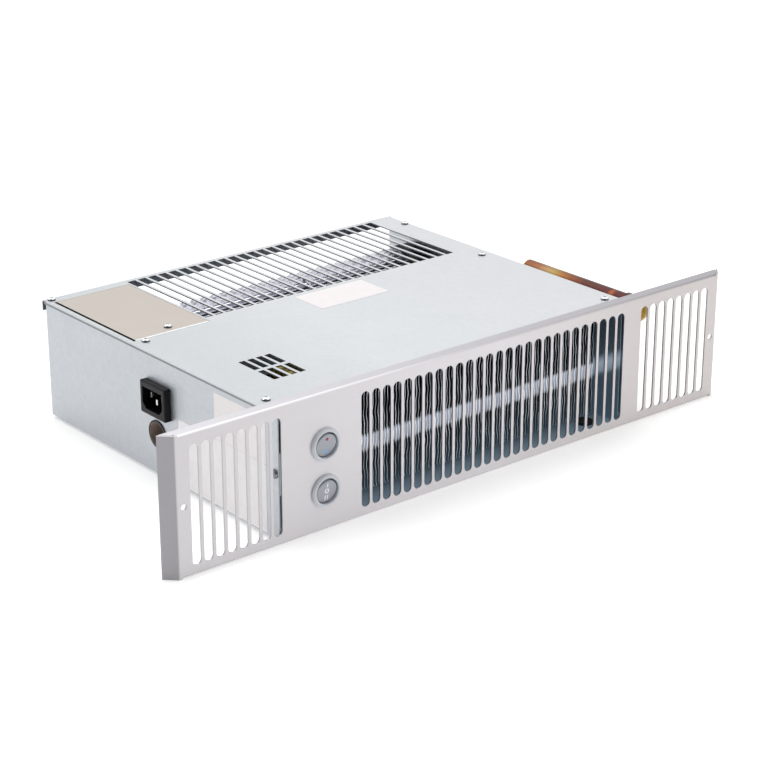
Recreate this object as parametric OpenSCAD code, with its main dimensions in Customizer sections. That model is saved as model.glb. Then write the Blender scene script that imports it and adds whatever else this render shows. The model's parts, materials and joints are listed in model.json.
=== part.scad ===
// Hydronic plinth heater: grille plate, low case, finned coil, crossflow fan and wiring compartment.
// X runs to the right, Y runs back from the grille's face, Z runs up from the floor.

/* [Grille plate] */
// Width of the plate's flat face
plate_w = 500; // [480:5:600]
// Height of the plate
plate_h = 100; // [99:1:120]
// Thickness of the plate's sheet
plate_t = 1.2; // [0.8:0.1:1.6]
// Depth of the top and bottom flanges, from the face
plate_flange = 9; // [7:0.5:12]
// How far the splayed ends run out and back
plate_splay = 8; // [5:0.5:12]
// Width of a slot
slot_w = 7; // [5:0.5:7.5]
// Height of a slot with its round ends
slot_h = 84.6; // [60:0.2:86]
// Height of the slots' centres
slot_z = 49.2; // [48:0.2:52]
// Distance from one slot to the next
slot_pitch = 9.33; // [9:0.01:9.5]
// Number of slots in front of the coil
mid_slots = 27; // [20:1:27]
// How far the middle slots sit to the right of the plate's centre
mid_slot_shift = 24.8; // [24:0.2:26]
// Number of slots in each side group
side_slots = 8; // [4:1:8]
// Distance from the plate's end to the first side slot
side_slot_inset = 13.9; // [12:0.1:16]
// Diameter of a fixing hole at the plate's end
fixing_hole_d = 4.4; // [3:0.1:5]
// Distance from the plate's end to a fixing hole
fixing_inset = 4.9; // [4:0.1:6]
// Width of the brackets behind the plate
bracket_w = 10; // [8:0.5:11]
// Height of the brackets behind the plate
bracket_h = 30; // [20:1:40]
// Distance from the face to the side screws
bracket_screw_y = 5.4; // [5:0.1:7]

/* [Case] */
// Width over the lid
case_w = 336; // [334:0.5:340]
// Distance from the grille's face to the back of the lid
case_back = 292.3; // [290:0.1:320]
// How far the case's centre sits to the right of the plate's centre
case_shift = -2; // [-3:0.5:-1]
// Height from the base to the top of the lid
case_h = 91.4; // [90:0.1:95]
// Thickness of the case's sheets
sheet = 1; // [0.8:0.1:1.2]
// Width of the case's top flanges
top_flange = 16; // [13:0.5:18]
// Height of the lip at the rear of the base
rear_lip_h = 10; // [6:0.5:14]
// Height of the feet
foot_h = 2.3; // [2:0.1:6]
// Diameter of a foot
foot_d = 16; // [10:0.5:24]
// Depth of the lid's side hems
hem_h = 2.5; // [2.2:0.1:4]
// Depth of the lid's rear flange
rear_flange_h = 8; // [5:0.5:14]
// Inner width of the wiring compartment
compartment_w = 66.1; // [64:0.1:67]

/* [Lid openings] */
// Number of intake slots
intake_slots = 26; // [10:1:26]
// Width of an intake slot
intake_w = 7; // [5:0.5:7.5]
// Distance from one intake slot to the next
intake_pitch = 9.33; // [9:0.01:9.5]
// Length of an intake slot
intake_l = 104; // [80:1:105]
// Distance from the lid's back to the intake slots
intake_inset = 5.8; // [5:0.1:8]
// Number of vent slots in a row
vent_slots = 4; // [2:1:5]
// Width of a vent slot
vent_w = 5; // [4:0.5:6]
// Length of a vent slot
vent_l = 19; // [12:0.5:20]
// Distance from one vent slot to the next
vent_pitch = 7.37; // [7:0.01:8]
// Distance from the lid's back to the access cover
cover_inset = 11.3; // [9:0.1:12.5]
// Length of the access cover
cover_l = 107; // [98:1:107]
// Gap along the cover's left edge
cover_side_gap = 2.2; // [0.8:0.1:2.4]

/* [Coil] */
// Distance from the face to the fins
coil_y = 26; // [22:0.5:30]
// Depth of the fins
fin_d = 44; // [40:1:50]
// Height of the fins
fin_h = 86; // [80:0.5:87]
// Thickness of a fin
fin_t = 0.3; // [0.2:0.05:0.5]
// Distance from one fin to the next
fin_pitch = 2.6; // [2.2:0.1:5]
// Outer diameter of a coil tube
tube_d = 8; // [7:0.5:8.5]
// Wall of a coil tube
tube_wall = 0.6; // [0.4:0.1:1]
// Distance between the front and back rows of tubes
row_pitch = 20; // [18:0.5:20]
// Number of tubes in a row
tube_levels = 4; // [2:2:4]
// Height of the lowest tube
low_tube_z = 15; // [14.5:0.5:16]
// Height of the highest tube
high_tube_z = 70; // [68:0.5:72]

/* [Pipes] */
// Outer diameter of the water pipes
pipe_d = 15; // [14:0.5:16]
// Wall of the water pipes
pipe_wall = 0.7; // [0.5:0.1:1.2]
// Distance from the case's right side to the flow tail
flow_reach = 44; // [40:1:64]
// Distance from the case's right side to the return tail
return_reach = 22; // [21:0.5:24]
// Distance from the face to the end of the tails
tail_end = 167; // [100:1:280]
// Wall of the elbows' sockets
elbow_wall = 1.1; // [0.8:0.1:1.6]
// Length of an elbow's socket
socket_l = 8; // [6:0.5:9]

/* [Fan] */
// Diameter of the impeller
impeller_d = 60; // [54:0.5:60]
// Number of blades
blades = 30; // [20:1:36]
// Radial depth of a blade
blade_depth = 7; // [5:0.5:8]
// Thickness of a blade
blade_t = 0.8; // [0.6:0.1:1]
// Height of the fan's axis
fan_z = 50; // [49:0.5:50]
// Distance from the fan's axis to the back of the lid
fan_inset = 42.3; // [41.5:0.1:44]
// Diameter of the fan's shafts
shaft_d = 6; // [5:0.1:7]
// Diameter of the motor's can
motor_d = 62; // [58:1:64]
// Length of the motor's can
motor_l = 17; // [16.5:0.1:17.5]

/* [Switches] */
// Distance from the plate's centre to the switches
switch_x = 131; // [128:0.5:134]
// Height of the upper switch
heat_switch_z = 62.5; // [60:0.5:66]
// Height of the lower switch
fan_switch_z = 28.9; // [26:0.1:32]
// Diameter of a bezel
bezel_d = 24; // [22.5:0.5:26]
// How far a bezel stands out from the plate
bezel_proud = 2.5; // [2:0.1:3]
// Diameter of the opening in a bezel
bezel_opening_d = 18.4; // [18.2:0.1:19]
// Diameter of a barrel behind the plate
barrel_d = 20; // [20:0.1:21.5]
// Diameter of a rocker
rocker_d = 16.9; // [16:0.1:16.9]
// Angle from the middle position to either end
rocker_tilt = 10; // [6:1:10]

/* [Mains inlet and cable hole] */
// Width of the inlet's flange
inlet_w = 30.4; // [28:0.2:32]
// Height of the inlet's flange
inlet_h = 24.4; // [22:0.2:26]
// Thickness of the inlet's flange
inlet_flange = 5.6; // [3:0.1:6]
// Distance from the face to the inlet's centre
inlet_y = 140.9; // [135:0.1:150]
// Height of the inlet's centre
inlet_z = 60.5; // [58:0.5:64]
// Diameter of the lined cable hole
cable_hole_d = 18; // [12:0.5:20]
// Distance from the face to the cable hole
cable_hole_y = 143.6; // [138:0.1:150]
// Height of the cable hole
cable_hole_z = 33; // [30:0.5:34]

/* [Fits] */
// Radial clearance of a turning shaft in its bearing
running_gap = 0.05; // [0.02:0.01:0.1]
// Clearance of a piece in its fixed seat
seat_gap = 0.05; // [0.02:0.01:0.2]
// Clearance between neighbouring sheets
sheet_gap = 0.3; // [0.1:0.05:0.5]

/* [Hidden] */
$fn = 48;
// A little extra length, so that a cut runs right through
through = 1;
// Number of flat facets in a folded sheet's bend
bend_steps = 4;
// Radius of the middle of a bend
bend_r = 1;
plate_bend_r = 1.5;

// The case's planes, from left to right
case_x0 = case_shift - case_w / 2;
case_x1 = case_shift + case_w / 2;
wall_x0 = case_x0 + sheet + sheet_gap / 3;
wall_x1 = case_x1 - sheet - sheet_gap / 3;
compartment_x0 = wall_x0 + sheet;
duct_x0 = compartment_x0 + compartment_w + sheet;
pipe_space_w = 15.1;
duct_x1 = wall_x1 - sheet - pipe_space_w - sheet;
// The case's planes, from front to back
case_front = plate_t + 0.5;
case_rear = case_back - sheet - sheet_gap;
// The case's planes, from the floor up
base_top = foot_h + sheet;
lid_top = foot_h + case_h;
lid_under = lid_top - sheet;
// The fan's axis, its ends and the planes round it
fan_y = case_back - fan_inset;
impeller_r = impeller_d / 2;
impeller_gap = 3;
impeller_bearing_room = 9.3;
motor_room = 5.8;
motor_mount_t = 1.3;
fan_plate_reach = 24;
impeller_x0 = duct_x0 + impeller_bearing_room;
fan_plate_x = duct_x1 - motor_room;
impeller_x1 = fan_plate_x - impeller_gap;
motor_x0 = fan_plate_x + sheet + motor_mount_t;
fan_plate_y = fan_y - impeller_r - fan_plate_reach;
disc_t = 1.2;
hub_r = 8;
hub_l = 7;
// The coil
coil_bend_room = 16.8;
coil_wall_gap = 0.4;
leg_reach = 0.7;
stub_leg_reach = 3.5;
coil_x0 = duct_x0 + coil_bend_room;
coil_x1 = duct_x1 - coil_wall_gap - sheet;
tube_r = tube_d / 2;
front_row_y = coil_y + (fin_d - row_pitch) / 2;
back_row_y = front_row_y + row_pitch;
level_pitch = (high_tube_z - low_tube_z) / (tube_levels - 1);
leg_end_x = duct_x1 + sheet + leg_reach;
fin_z = base_top + sheet + sheet_gap;
// The pipes
pipe_r = pipe_d / 2;
flow_x = case_x1 + flow_reach;
return_x = case_x1 + return_reach;
elbow_bend_r = 10;
elbow_r = pipe_r + seat_gap + elbow_wall;
pipe_grommet_t = 1.75;
pipe_hole_r = pipe_r + pipe_grommet_t;
// How far a rocker's lower corner, pressed in or out, stands in front of the face
rocker_pivot_y = 2;
rocker_face = 3.3;
rocker_back = 2.5;
front_reach = rocker_face * cos(rocker_tilt) + rocker_d / 2 * sin(rocker_tilt) - rocker_pivot_y;
// The middle of the whole part from front to back
mid_y = (case_back - max(front_reach, bezel_proud)) / 2;

// ---- Folded sheets -------------------------------------------------------------------------

function unit(v) = v / norm(v);
function left_of(v) = [-v[1], v[0]];
function turned(v, a) = [v[0] * cos(a) - v[1] * sin(a), v[0] * sin(a) + v[1] * cos(a)];

// Points of one side of a bend at b, between the legs from a and to c; d is the side's offset to the left
function bend_points(a, b, c, r, d) =
  let (u = unit(b - a), v = unit(c - b), angle = atan2(u[0] * v[1] - u[1] * v[0], u * v))
  let (s = sign(angle), cut = r * tan(abs(angle) / 2), centre = b - u * cut + s * r * left_of(u))
  [for (i = [0 : bend_steps]) centre - s * (r - s * d) * turned(left_of(u), angle * i / bend_steps)];

// Points of one whole side of a folded sheet
function side_points(path, r, d) =
  let (last = len(path) - 1)
  [
    path[0] + d * left_of(unit(path[1] - path[0])),
    for (i = [1 : 1 : last - 1]) each bend_points(path[i - 1], path[i], path[i + 1], r, d),
    path[last] + d * left_of(unit(path[last] - path[last - 1]))
  ];

// Outline of a sheet of thickness t, whose middle follows the path with bends of radius r
function sheet_outline(path, t, r) =
  let (one = side_points(path, r, t / 2), other = side_points(path, r, -t / 2))
  [each one, for (i = [len(other) - 1 : -1 : 0]) other[i]];

// A folded sheet that runs along X, with its path in Y and Z
module sheet_x(path, x0, x1, t = sheet, r = bend_r) {
  translate([x0, 0, 0]) rotate([90, 0, 90]) linear_extrude(height = x1 - x0) polygon(sheet_outline(path, t, r));
}

// A folded sheet that runs along Y, with its path in X and Z
module sheet_y(path, y0, y1, t = sheet, r = bend_r) {
  translate([0, y1, 0]) rotate([90, 0, 0]) linear_extrude(height = y1 - y0) polygon(sheet_outline(path, t, r));
}

// A folded sheet that runs along Z, with its path in X and Y
module sheet_z(path, z0, z1, t = sheet, r = bend_r) {
  translate([0, 0, z0]) linear_extrude(height = z1 - z0) polygon(sheet_outline(path, t, r));
}

// ---- Plain forms ---------------------------------------------------------------------------

// Gives a piece its colour and puts the whole part's middle at the origin
module part(colour) translate([0, -mid_y, 0]) color(colour) children();

module box(from, to) translate(from) cube(to - from);
module rod_x(r, x0, x1, y, z) translate([x0, y, z]) rotate([0, 90, 0]) cylinder(r = r, h = x1 - x0);
module rod_y(r, y0, y1, x, z) translate([x, y0, z]) rotate([-90, 0, 0]) cylinder(r = r, h = y1 - y0);
module rod_z(r, z0, z1, x, y) translate([x, y, z0]) cylinder(r = r, h = z1 - z0);

// Puts a revolved piece, whose axis is Z, along X at a place
module facing_x(x, y, z) translate([x, y, z]) rotate([0, 90, 0]) children();

// A slot with round ends, cut along Y
module upright_slot(x, z, w, h, y0, y1) {
  reach = (h - w) / 2;
  box([x - w / 2, y0, z - reach], [x + w / 2, y1, z + reach]);
  for (side = [-1, 1]) rod_y(w / 2, y0, y1, x, z + side * reach);
}

// A pan-head screw along Z, with its seat at the origin and its shank below
module pan_screw(head_r = 3, head_h = 2, shank_r = 1.45, shank_l = 7) difference() {
  rotate_extrude() polygon([
    [0, -shank_l], [shank_r * 0.4, -shank_l], [shank_r, -shank_l + 1.5], [shank_r, 0], [head_r, 0],
    [head_r, head_h * 0.4], [head_r * 0.8, head_h * 0.8], [head_r * 0.45, head_h], [0, head_h]
  ]);
  for (turn = [0, 90]) rotate(turn) translate([-head_r * 0.5, -head_r * 0.1, head_h * 0.4])
    cube([head_r, head_r * 0.2, head_h]);
}

// ---- Grille plate --------------------------------------------------------------------------

wing_relief = 1;
mitre_gap = 0.4;
bracket_inset = 0.02;
side_screw_r = 2;
side_screw_head_r = 3.3;
bracket_leg_y = 9.5;
bracket_z = plate_h / 2;

function mid_slot_x(i) = mid_slot_shift + (i - (mid_slots - 1) / 2) * slot_pitch;
function side_slot_x(i) = plate_w / 2 - side_slot_inset - i * slot_pitch;
// A narrow plate has room for fewer side slots beside the middle ones
side_room = side_slot_x(0) - mid_slot_x(mid_slots - 1);
side_slots_used = min(side_slots, floor(side_room / slot_pitch));

// One splayed end of the plate
module grille_wing() {
  path = [
    [plate_w / 2 - wing_relief - plate_t, plate_t / 2], [plate_w / 2, plate_t / 2],
    [plate_w / 2 + plate_splay, plate_splay + plate_t / 2]
  ];
  sheet_z(path, 0, plate_h, plate_t, plate_bend_r);
}

// The mitred end of a flange, cut parallel to the wing with a narrow gap; z is its underside
module flange_mitre(z) {
  reach = min(plate_flange, plate_splay);
  start_y = plate_bend_r + plate_t;
  wing_face_x = plate_w / 2 - plate_t * sqrt(2) / 2 - mitre_gap;
  translate([0, 0, z]) linear_extrude(height = plate_t) polygon([
    [plate_w / 2 - 3 * wing_relief, start_y], [wing_face_x + start_y - plate_t / 2, start_y],
    [wing_face_x + reach - plate_t / 2, reach], [wing_face_x + reach - plate_t / 2, plate_flange],
    [plate_w / 2 - 3 * wing_relief, plate_flange]
  ]);
}

module front_grille() part("#D4D1D2") difference() {
  face_path = [
    [plate_flange, plate_t / 2], [plate_t / 2, plate_t / 2],
    [plate_t / 2, plate_h - plate_t / 2], [plate_flange, plate_h - plate_t / 2]
  ];
  union() {
    sheet_x(face_path, -plate_w / 2 + wing_relief, plate_w / 2 - wing_relief, plate_t, plate_bend_r);
    for (side = [0, 1]) mirror([side, 0, 0]) {
      grille_wing();
      for (z = [0, plate_h - plate_t]) flange_mitre(z);
    }
  }
  for (i = [0 : mid_slots - 1]) upright_slot(mid_slot_x(i), slot_z, slot_w, slot_h, -through, plate_t + through);
  for (i = [0 : side_slots_used - 1], side = [-1, 1])
    upright_slot(side * side_slot_x(i), slot_z, slot_w, slot_h, -through, plate_t + through);
  for (side = [-1, 1])
    rod_y(fixing_hole_d / 2, -through, plate_t + through, side * (plate_w / 2 - fixing_inset), plate_h / 2);
  for (z = [heat_switch_z, fan_switch_z])
    rod_y(barrel_d / 2 + seat_gap, -through, plate_t + through, -switch_x, z);
}

// A bracket behind the plate, against a case wall whose inner face is at x; side is the way to the case's middle
module grille_bracket(x, side) difference() {
  leg_x = x + side * (sheet / 2 + bracket_inset);
  path = [
    [leg_x, bracket_leg_y], [leg_x, plate_t + sheet / 2], [leg_x + side * bracket_w, plate_t + sheet / 2]
  ];
  sheet_z(path, bracket_z - bracket_h / 2, bracket_z + bracket_h / 2);
  rod_x(side_screw_r + seat_gap, x - 2 * sheet, x + 2 * sheet, bracket_screw_y, bracket_z);
}

module grille_bracket_left() part("#B9BEC2") grille_bracket(compartment_x0, 1);
module grille_bracket_right() part("#B9BEC2") grille_bracket(wall_x1 - sheet, -1);

module bracket_screws() part("#A9ADB0") {
  for (side = [-1, 1])
    translate([side < 0 ? wall_x0 : wall_x1, bracket_screw_y, bracket_z]) rotate([0, side * 90, 0])
      pan_screw(side_screw_head_r, 2.2, side_screw_r, 7);
}

// ---- Case ----------------------------------------------------------------------------------

flange_mid = lid_under - sheet / 2;
base_mid = foot_h + sheet / 2;
foot_side_inset = 12;
foot_end_inset = 20;
lid_screw_hole_r = 1.5;
inlet_body_w = inlet_w - 3.4;
inlet_body_h = inlet_h - 4.4;
grommet_y = 18.2;
grommet_inset = 18.1;
grommet_x = duct_x1 - grommet_inset;
grommet_hole_r = 5.5;
liner_wall = 1;
// The casing's fold and the rail's leg stand against the side panel's inner face
fold_x = compartment_x0 + sheet_gap / 3 + sheet / 2;
side_fold_h = 9;
rail_leg = 6;
// The rail is cut away under the access cover, so that a hand can reach in
notch_side = 3.2;
notch_end = 2;

// Lid screws: [distance from the side edge, distance from the back edge]
left_lid_screws = [[5.4, 4.9], [10.6, 123.3], [10.1, 266.5]];
right_lid_screws = [[4.5, 26.3], [10.7, 128.7], [11.4, 266.4]];

// Puts a piece at each of the lid's screws
module at_lid_screws(z) {
  for (at = left_lid_screws) translate([case_x0 + at[0], case_back - at[1], z]) children();
  for (at = right_lid_screws) translate([case_x1 - at[0], case_back - at[1], z]) children();
}

// Puts a piece at the height and depth of both water pipes where they pass the right wall
module at_pipe_holes(x) {
  for (z = [high_tube_z, low_tube_z]) facing_x(x, front_row_y, z) children();
}

// Puts a piece under each corner of the case
module at_feet() {
  for (x = [wall_x0 + foot_side_inset, wall_x1 - foot_side_inset])
    for (y = [case_front + foot_end_inset, case_rear - foot_end_inset]) translate([x, y, 0]) children();
}

// The base, the right wall and the flange above it, folded from one sheet; its left edge turns up in the side panel
module casing() part("#CBD0D4") difference() {
  tray_path = [
    [fold_x, base_mid + side_fold_h], [fold_x, base_mid],
    [wall_x1 - sheet / 2, base_mid], [wall_x1 - sheet / 2, flange_mid], [wall_x1 - top_flange, flange_mid]
  ];
  lip_path = [
    [case_rear - rear_lip_h, base_mid], [case_rear - sheet / 2, base_mid],
    [case_rear - sheet / 2, base_top + rear_lip_h]
  ];
  union() {
    sheet_y(tray_path, case_front, case_rear - 2 * sheet);
    sheet_x(lip_path, wall_x0 + 3 * sheet, wall_x1 - 2 * sheet);
  }
  at_lid_screws(flange_mid - sheet) cylinder(r = lid_screw_hole_r, h = 2 * sheet);
  at_pipe_holes(wall_x1 - 2 * sheet) cylinder(r = pipe_hole_r, h = 3 * sheet);
  rod_x(side_screw_r + seat_gap, wall_x1 - 2 * sheet, wall_x1 + sheet, bracket_screw_y, bracket_z);
  rod_z(grommet_hole_r, foot_h - through, base_top + through, grommet_x, grommet_y);
}

// The flat left wall, spot-welded to the casing's fold and to the rail
module side_panel() part("#CBD0D4") difference() {
  box([wall_x0, case_front, foot_h], [compartment_x0, case_rear - 2 * sheet, lid_under - 2 * sheet_gap]);
  rod_x(side_screw_r + seat_gap, wall_x0 - through, compartment_x0 + through, bracket_screw_y, bracket_z);
  translate([wall_x0 - through, inlet_y, inlet_z]) cube_x(sheet + 2 * through, inlet_body_w, inlet_body_h, seat_gap);
  rod_x(cable_hole_d / 2 + liner_wall, wall_x0 - through, compartment_x0 + through, cable_hole_y, cable_hole_z);
}

// An angle strip along the top of the side panel that takes the left lid screws
module lid_rail() part("#CBD0D4") difference() {
  path = [[fold_x, flange_mid - rail_leg], [fold_x, flange_mid], [wall_x0 + top_flange, flange_mid]];
  sheet_y(path, case_front, case_rear - 2 * sheet);
  at_lid_screws(flange_mid - sheet) cylinder(r = lid_screw_hole_r, h = 2 * sheet);
  box([wall_x0 + notch_side, cover_y + notch_end, flange_mid - sheet],
      [wall_x0 + top_flange + through, cover_y + cover_l - notch_end, flange_mid + sheet]);
}

// A block along X from the origin, w wide and h high, grown all round by a gap
module cube_x(l, w, h, gap = 0) translate([0, -w / 2 - gap, -h / 2 - gap]) cube([l, w + 2 * gap, h + 2 * gap]);

module feet() part("#2B2B2D") at_feet() cylinder(r = foot_d / 2, h = foot_h);

// ---- Lid -----------------------------------------------------------------------------------

lid_mid = lid_top - sheet / 2;
intake_x = duct_x0 + 2.3 + intake_w / 2;
vent_x = compartment_x0 + 47.75;
vent_y = 72.5;
vent_row_pitch = 22.6;
cover_x0 = case_x0 + 6;
cover_x1 = duct_x0 + 0.1;
cover_y = case_back - cover_inset - cover_l;
cover_gap = 0.3;
cover_screw_x = cover_x0 + 33.4;
cover_screw_y = cover_y + 9.8;
ledge_l = 14;
partition_flange = 5;

// A ledge for the cover, joggled down from the lid; y is the cover's edge and way leads under it
module cover_ledge(y, way) {
  path = [
    [y - way * 9, lid_mid], [y - way * 2.4, lid_mid], [y - way * 0.8, lid_mid - sheet],
    [y + way * ledge_l, lid_mid - sheet]
  ];
  sheet_x(path, wall_x0 + top_flange + sheet_gap, duct_x0 - sheet - partition_flange - sheet_gap, sheet, 0.6);
}

module lid() part("#DDE1E4") difference() {
  hem_path = [
    [case_x0 + sheet / 2, lid_top - hem_h], [case_x0 + sheet / 2, lid_mid],
    [case_x1 - sheet / 2, lid_mid], [case_x1 - sheet / 2, lid_top - hem_h]
  ];
  rear_path = [
    [case_back - 4 * sheet, lid_mid], [case_back - sheet / 2, lid_mid],
    [case_back - sheet / 2, lid_top - rear_flange_h]
  ];
  union() {
    difference() {
      union() {
        sheet_y(hem_path, case_front, case_back - 3 * sheet);
        sheet_x(rear_path, case_x0, case_x1);
      }
      box([cover_x0 - cover_side_gap, cover_y - cover_gap, lid_under - through],
          [cover_x1 + cover_gap, cover_y + cover_l + cover_gap, lid_top + through]);
    }
    cover_ledge(cover_y, 1);
    cover_ledge(cover_y + cover_l, -1);
  }
  for (i = [0 : intake_slots - 1])
    translate([intake_x + i * intake_pitch - intake_w / 2, case_back - intake_inset - intake_l, lid_under - through])
      cube([intake_w, intake_l, sheet + 2 * through]);
  for (i = [0 : vent_slots - 1], row = [-1, 1])
    translate([vent_x + (i - (vent_slots - 1) / 2) * vent_pitch, vent_y + row * vent_row_pitch / 2, lid_mid])
      cube([vent_w, vent_l, 2 * sheet], center = true);
  at_lid_screws(lid_under - through) cylinder(r = lid_screw_hole_r, h = sheet + 2 * through);
  rod_z(lid_screw_hole_r, lid_mid - 2 * sheet, lid_top, cover_screw_x, cover_screw_y);
}

module lid_screws() part("#C9CCCF") at_lid_screws(lid_top) pan_screw();

module access_cover() part("#D3CCC4") difference() {
  box([cover_x0, cover_y, lid_under], [cover_x1, cover_y + cover_l, lid_top]);
  rod_z(lid_screw_hole_r, lid_under - through, lid_top + through, cover_screw_x, cover_screw_y);
}

module cover_screw() part("#C9CCCF") translate([cover_screw_x, cover_screw_y, lid_top]) pan_screw();

// ---- Inner walls ---------------------------------------------------------------------------

bush_r = 5;
fan_grommet_r = 9;
partition_rear = case_rear - 4;
foot_flange = 9;

module partition() part("#C4C9CD") difference() {
  mid_x = duct_x0 - sheet / 2;
  path = [
    [mid_x - partition_flange, flange_mid], [mid_x, flange_mid], [mid_x, base_top + sheet / 2],
    [mid_x - foot_flange, base_top + sheet / 2]
  ];
  sheet_y(path, case_front + 2 * sheet, partition_rear);
  rod_x(fan_grommet_r, mid_x - 2 * sheet, mid_x + 2 * sheet, fan_y, fan_z);
}

module duct_wall() part("#AEB9C4") difference() {
  mid_x = duct_x1 + sheet / 2;
  path = [
    [mid_x + foot_flange, base_top + sheet / 2], [mid_x, base_top + sheet / 2], [mid_x, lid_under - sheet_gap]
  ];
  sheet_y(path, case_front, fan_plate_y);
  tube_holes(mid_x - 2 * sheet, mid_x + 2 * sheet, tube_r + seat_gap);
}

module base_grommet() part("#1C1C1E") translate([grommet_x, grommet_y, foot_h]) rotate_extrude() polygon([
  [grommet_hole_r - 2, -0.8], [grommet_hole_r + 1, -0.8], [grommet_hole_r + 1, 0], [grommet_hole_r - 0.1, 0],
  [grommet_hole_r - 0.1, sheet], [grommet_hole_r + 1.7, sheet], [grommet_hole_r + 1.3, sheet + 1.6],
  [grommet_hole_r - 2, sheet + 1.6]
]);

// ---- Coil ----------------------------------------------------------------------------------

fin_hole_r = tube_r + seat_gap;
fins = floor((coil_x1 - coil_x0) / fin_pitch);
end_plate_top = fin_z + fin_h;
end_plate_foot = 11;
end_plate_foot_leg = 8;
bend_start_x = coil_x0 - sheet - 0.5;

function level_z(i) = high_tube_z - i * level_pitch;

// The holes for all coil tubes
module tube_holes(x0, x1, r) {
  for (i = [0 : tube_levels - 1], y = [front_row_y, back_row_y]) rod_x(r, x0, x1, y, level_z(i));
}

// One flat fin with its collar holes, in X and laid out from its tube places
module fin() rotate([90, 0, 90]) linear_extrude(height = fin_t) difference() {
  translate([coil_y, fin_z]) square([fin_d, fin_h]);
  for (i = [0 : tube_levels - 1], y = [front_row_y, back_row_y]) translate([y, level_z(i)]) circle(r = fin_hole_r);
}

module fin_pack() part("#3A3F45") {
  margin = (coil_x1 - coil_x0 - (fins - 1) * fin_pitch) / 2;
  for (i = [0 : fins - 1]) translate([coil_x0 + margin + i * fin_pitch - fin_t / 2, 0, 0]) fin();
}

// A half ring of tube that opens towards -X, with its legs a pitch apart along Y
module half_ring(pitch, r) rotate([0, 0, -90]) rotate_extrude(angle = 180) translate([pitch / 2, 0]) circle(r = r);

// One hairpin: two legs in a level and the bend that joins them at the left
module hairpin(i, r, extra) {
  z = level_z(i);
  front_end = i == 0 || i == tube_levels - 1 ? leg_end_x + stub_leg_reach : leg_end_x;
  rod_x(r, bend_start_x, front_end + extra, front_row_y, z);
  rod_x(r, bend_start_x, leg_end_x + extra, back_row_y, z);
  translate([bend_start_x, (front_row_y + back_row_y) / 2, z]) mirror([1, 0, 0]) half_ring(row_pitch, r);
}

module coil_hairpins() part("#B4694A") {
  for (i = [0 : tube_levels - 1]) difference() {
    hairpin(i, tube_r, 0);
    hairpin(i, tube_r - tube_wall, through);
  }
}

// Return bends join the levels at the right, in turn at the back and at the front
module return_bends() part("#B4694A") {
  for (i = [0 : tube_levels - 2]) {
    y = i % 2 == 0 ? back_row_y : front_row_y;
    z = (level_z(i) + level_z(i + 1)) / 2;
    translate([leg_end_x, y, z]) rotate([90, 0, 0]) difference() {
      half_ring(level_pitch, tube_r);
      half_ring(level_pitch, tube_r - tube_wall);
    }
  }
}

module coil_end_plate_left() part("#BFC5CA") difference() {
  mid_x = coil_x0 - sheet / 2;
  path = [[duct_x0, coil_y - sheet / 2], [mid_x, coil_y - sheet / 2], [mid_x, coil_y + fin_d]];
  foot_path = [
    [mid_x - end_plate_foot, base_top + sheet / 2], [mid_x, base_top + sheet / 2],
    [mid_x, base_top + end_plate_foot_leg]
  ];
  union() {
    sheet_z(path, base_top, end_plate_top);
    sheet_y(foot_path, coil_y + sheet, coil_y + fin_d);
  }
  tube_holes(mid_x - 2 * sheet, mid_x + 2 * sheet, tube_r + seat_gap);
  at_coil_screws_left(base_top - through) cylinder(r = lid_screw_hole_r, h = sheet + 2 * through);
}

module coil_end_plate_right() part("#BFC5CA") difference() {
  mid_x = coil_x1 + sheet / 2;
  path = [[mid_x - end_plate_foot, base_top + sheet / 2], [mid_x, base_top + sheet / 2], [mid_x, end_plate_top]];
  sheet_y(path, coil_y, coil_y + fin_d);
  tube_holes(mid_x - 2 * sheet, mid_x + 2 * sheet, tube_r + seat_gap);
}

// Puts a piece at the two screws of the left end plate's foot
module at_coil_screws_left(z) {
  for (y = [coil_y + 6, coil_y + fin_d - 6]) translate([coil_x0 - 8, y, z]) children();
}

module coil_screws() part("#C9CCCF") at_coil_screws_left(base_top + sheet) pan_screw(2.6, 1.6, 1.45, sheet);

// ---- Pipes ---------------------------------------------------------------------------------

stub_x0 = leg_end_x + 1.5;

// A stub of pipe along X, necked down over a coil tube, that ends in an elbow at x
module stub(x, z) facing_x(stub_x0, front_row_y, z) rotate_extrude() polygon([
  [tube_r + seat_gap, 0], [tube_r + 1, 0], [tube_r + 1, 1], [pipe_r, 3], [pipe_r, x - elbow_bend_r - 1 - stub_x0],
  [pipe_r - pipe_wall, x - elbow_bend_r - 1 - stub_x0], [pipe_r - pipe_wall, 3.5], [tube_r + seat_gap, 1.4]
]);

// Radial and axial size of the ring of solder where a tail enters its elbow
solder_h = 0.8;
solder_l = 1.2;

// The quarter bend and both sockets of an elbow, at radius r in the bend and socket_r in the sockets
module elbow_form(r, socket_r, inset, extra) {
  translate([-elbow_bend_r, elbow_bend_r, 0]) rotate([0, 0, -90]) rotate_extrude(angle = 90)
    translate([elbow_bend_r, 0]) circle(r = r);
  rod_x(socket_r, -elbow_bend_r - socket_l - extra, -elbow_bend_r - inset, 0, 0);
  rod_y(socket_r, elbow_bend_r + inset, elbow_bend_r + socket_l + extra, 0, 0);
}

module elbow(x, z) translate([x, front_row_y, z]) difference() {
  elbow_form(elbow_r, elbow_r, 0, 0);
  elbow_form(pipe_r - pipe_wall, pipe_r + seat_gap, 1, through);
  rod_x(pipe_r - pipe_wall, -elbow_bend_r - 2, -elbow_bend_r, 0, 0);
  rod_y(pipe_r - pipe_wall, elbow_bend_r, elbow_bend_r + 2, 0, 0);
}

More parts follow.
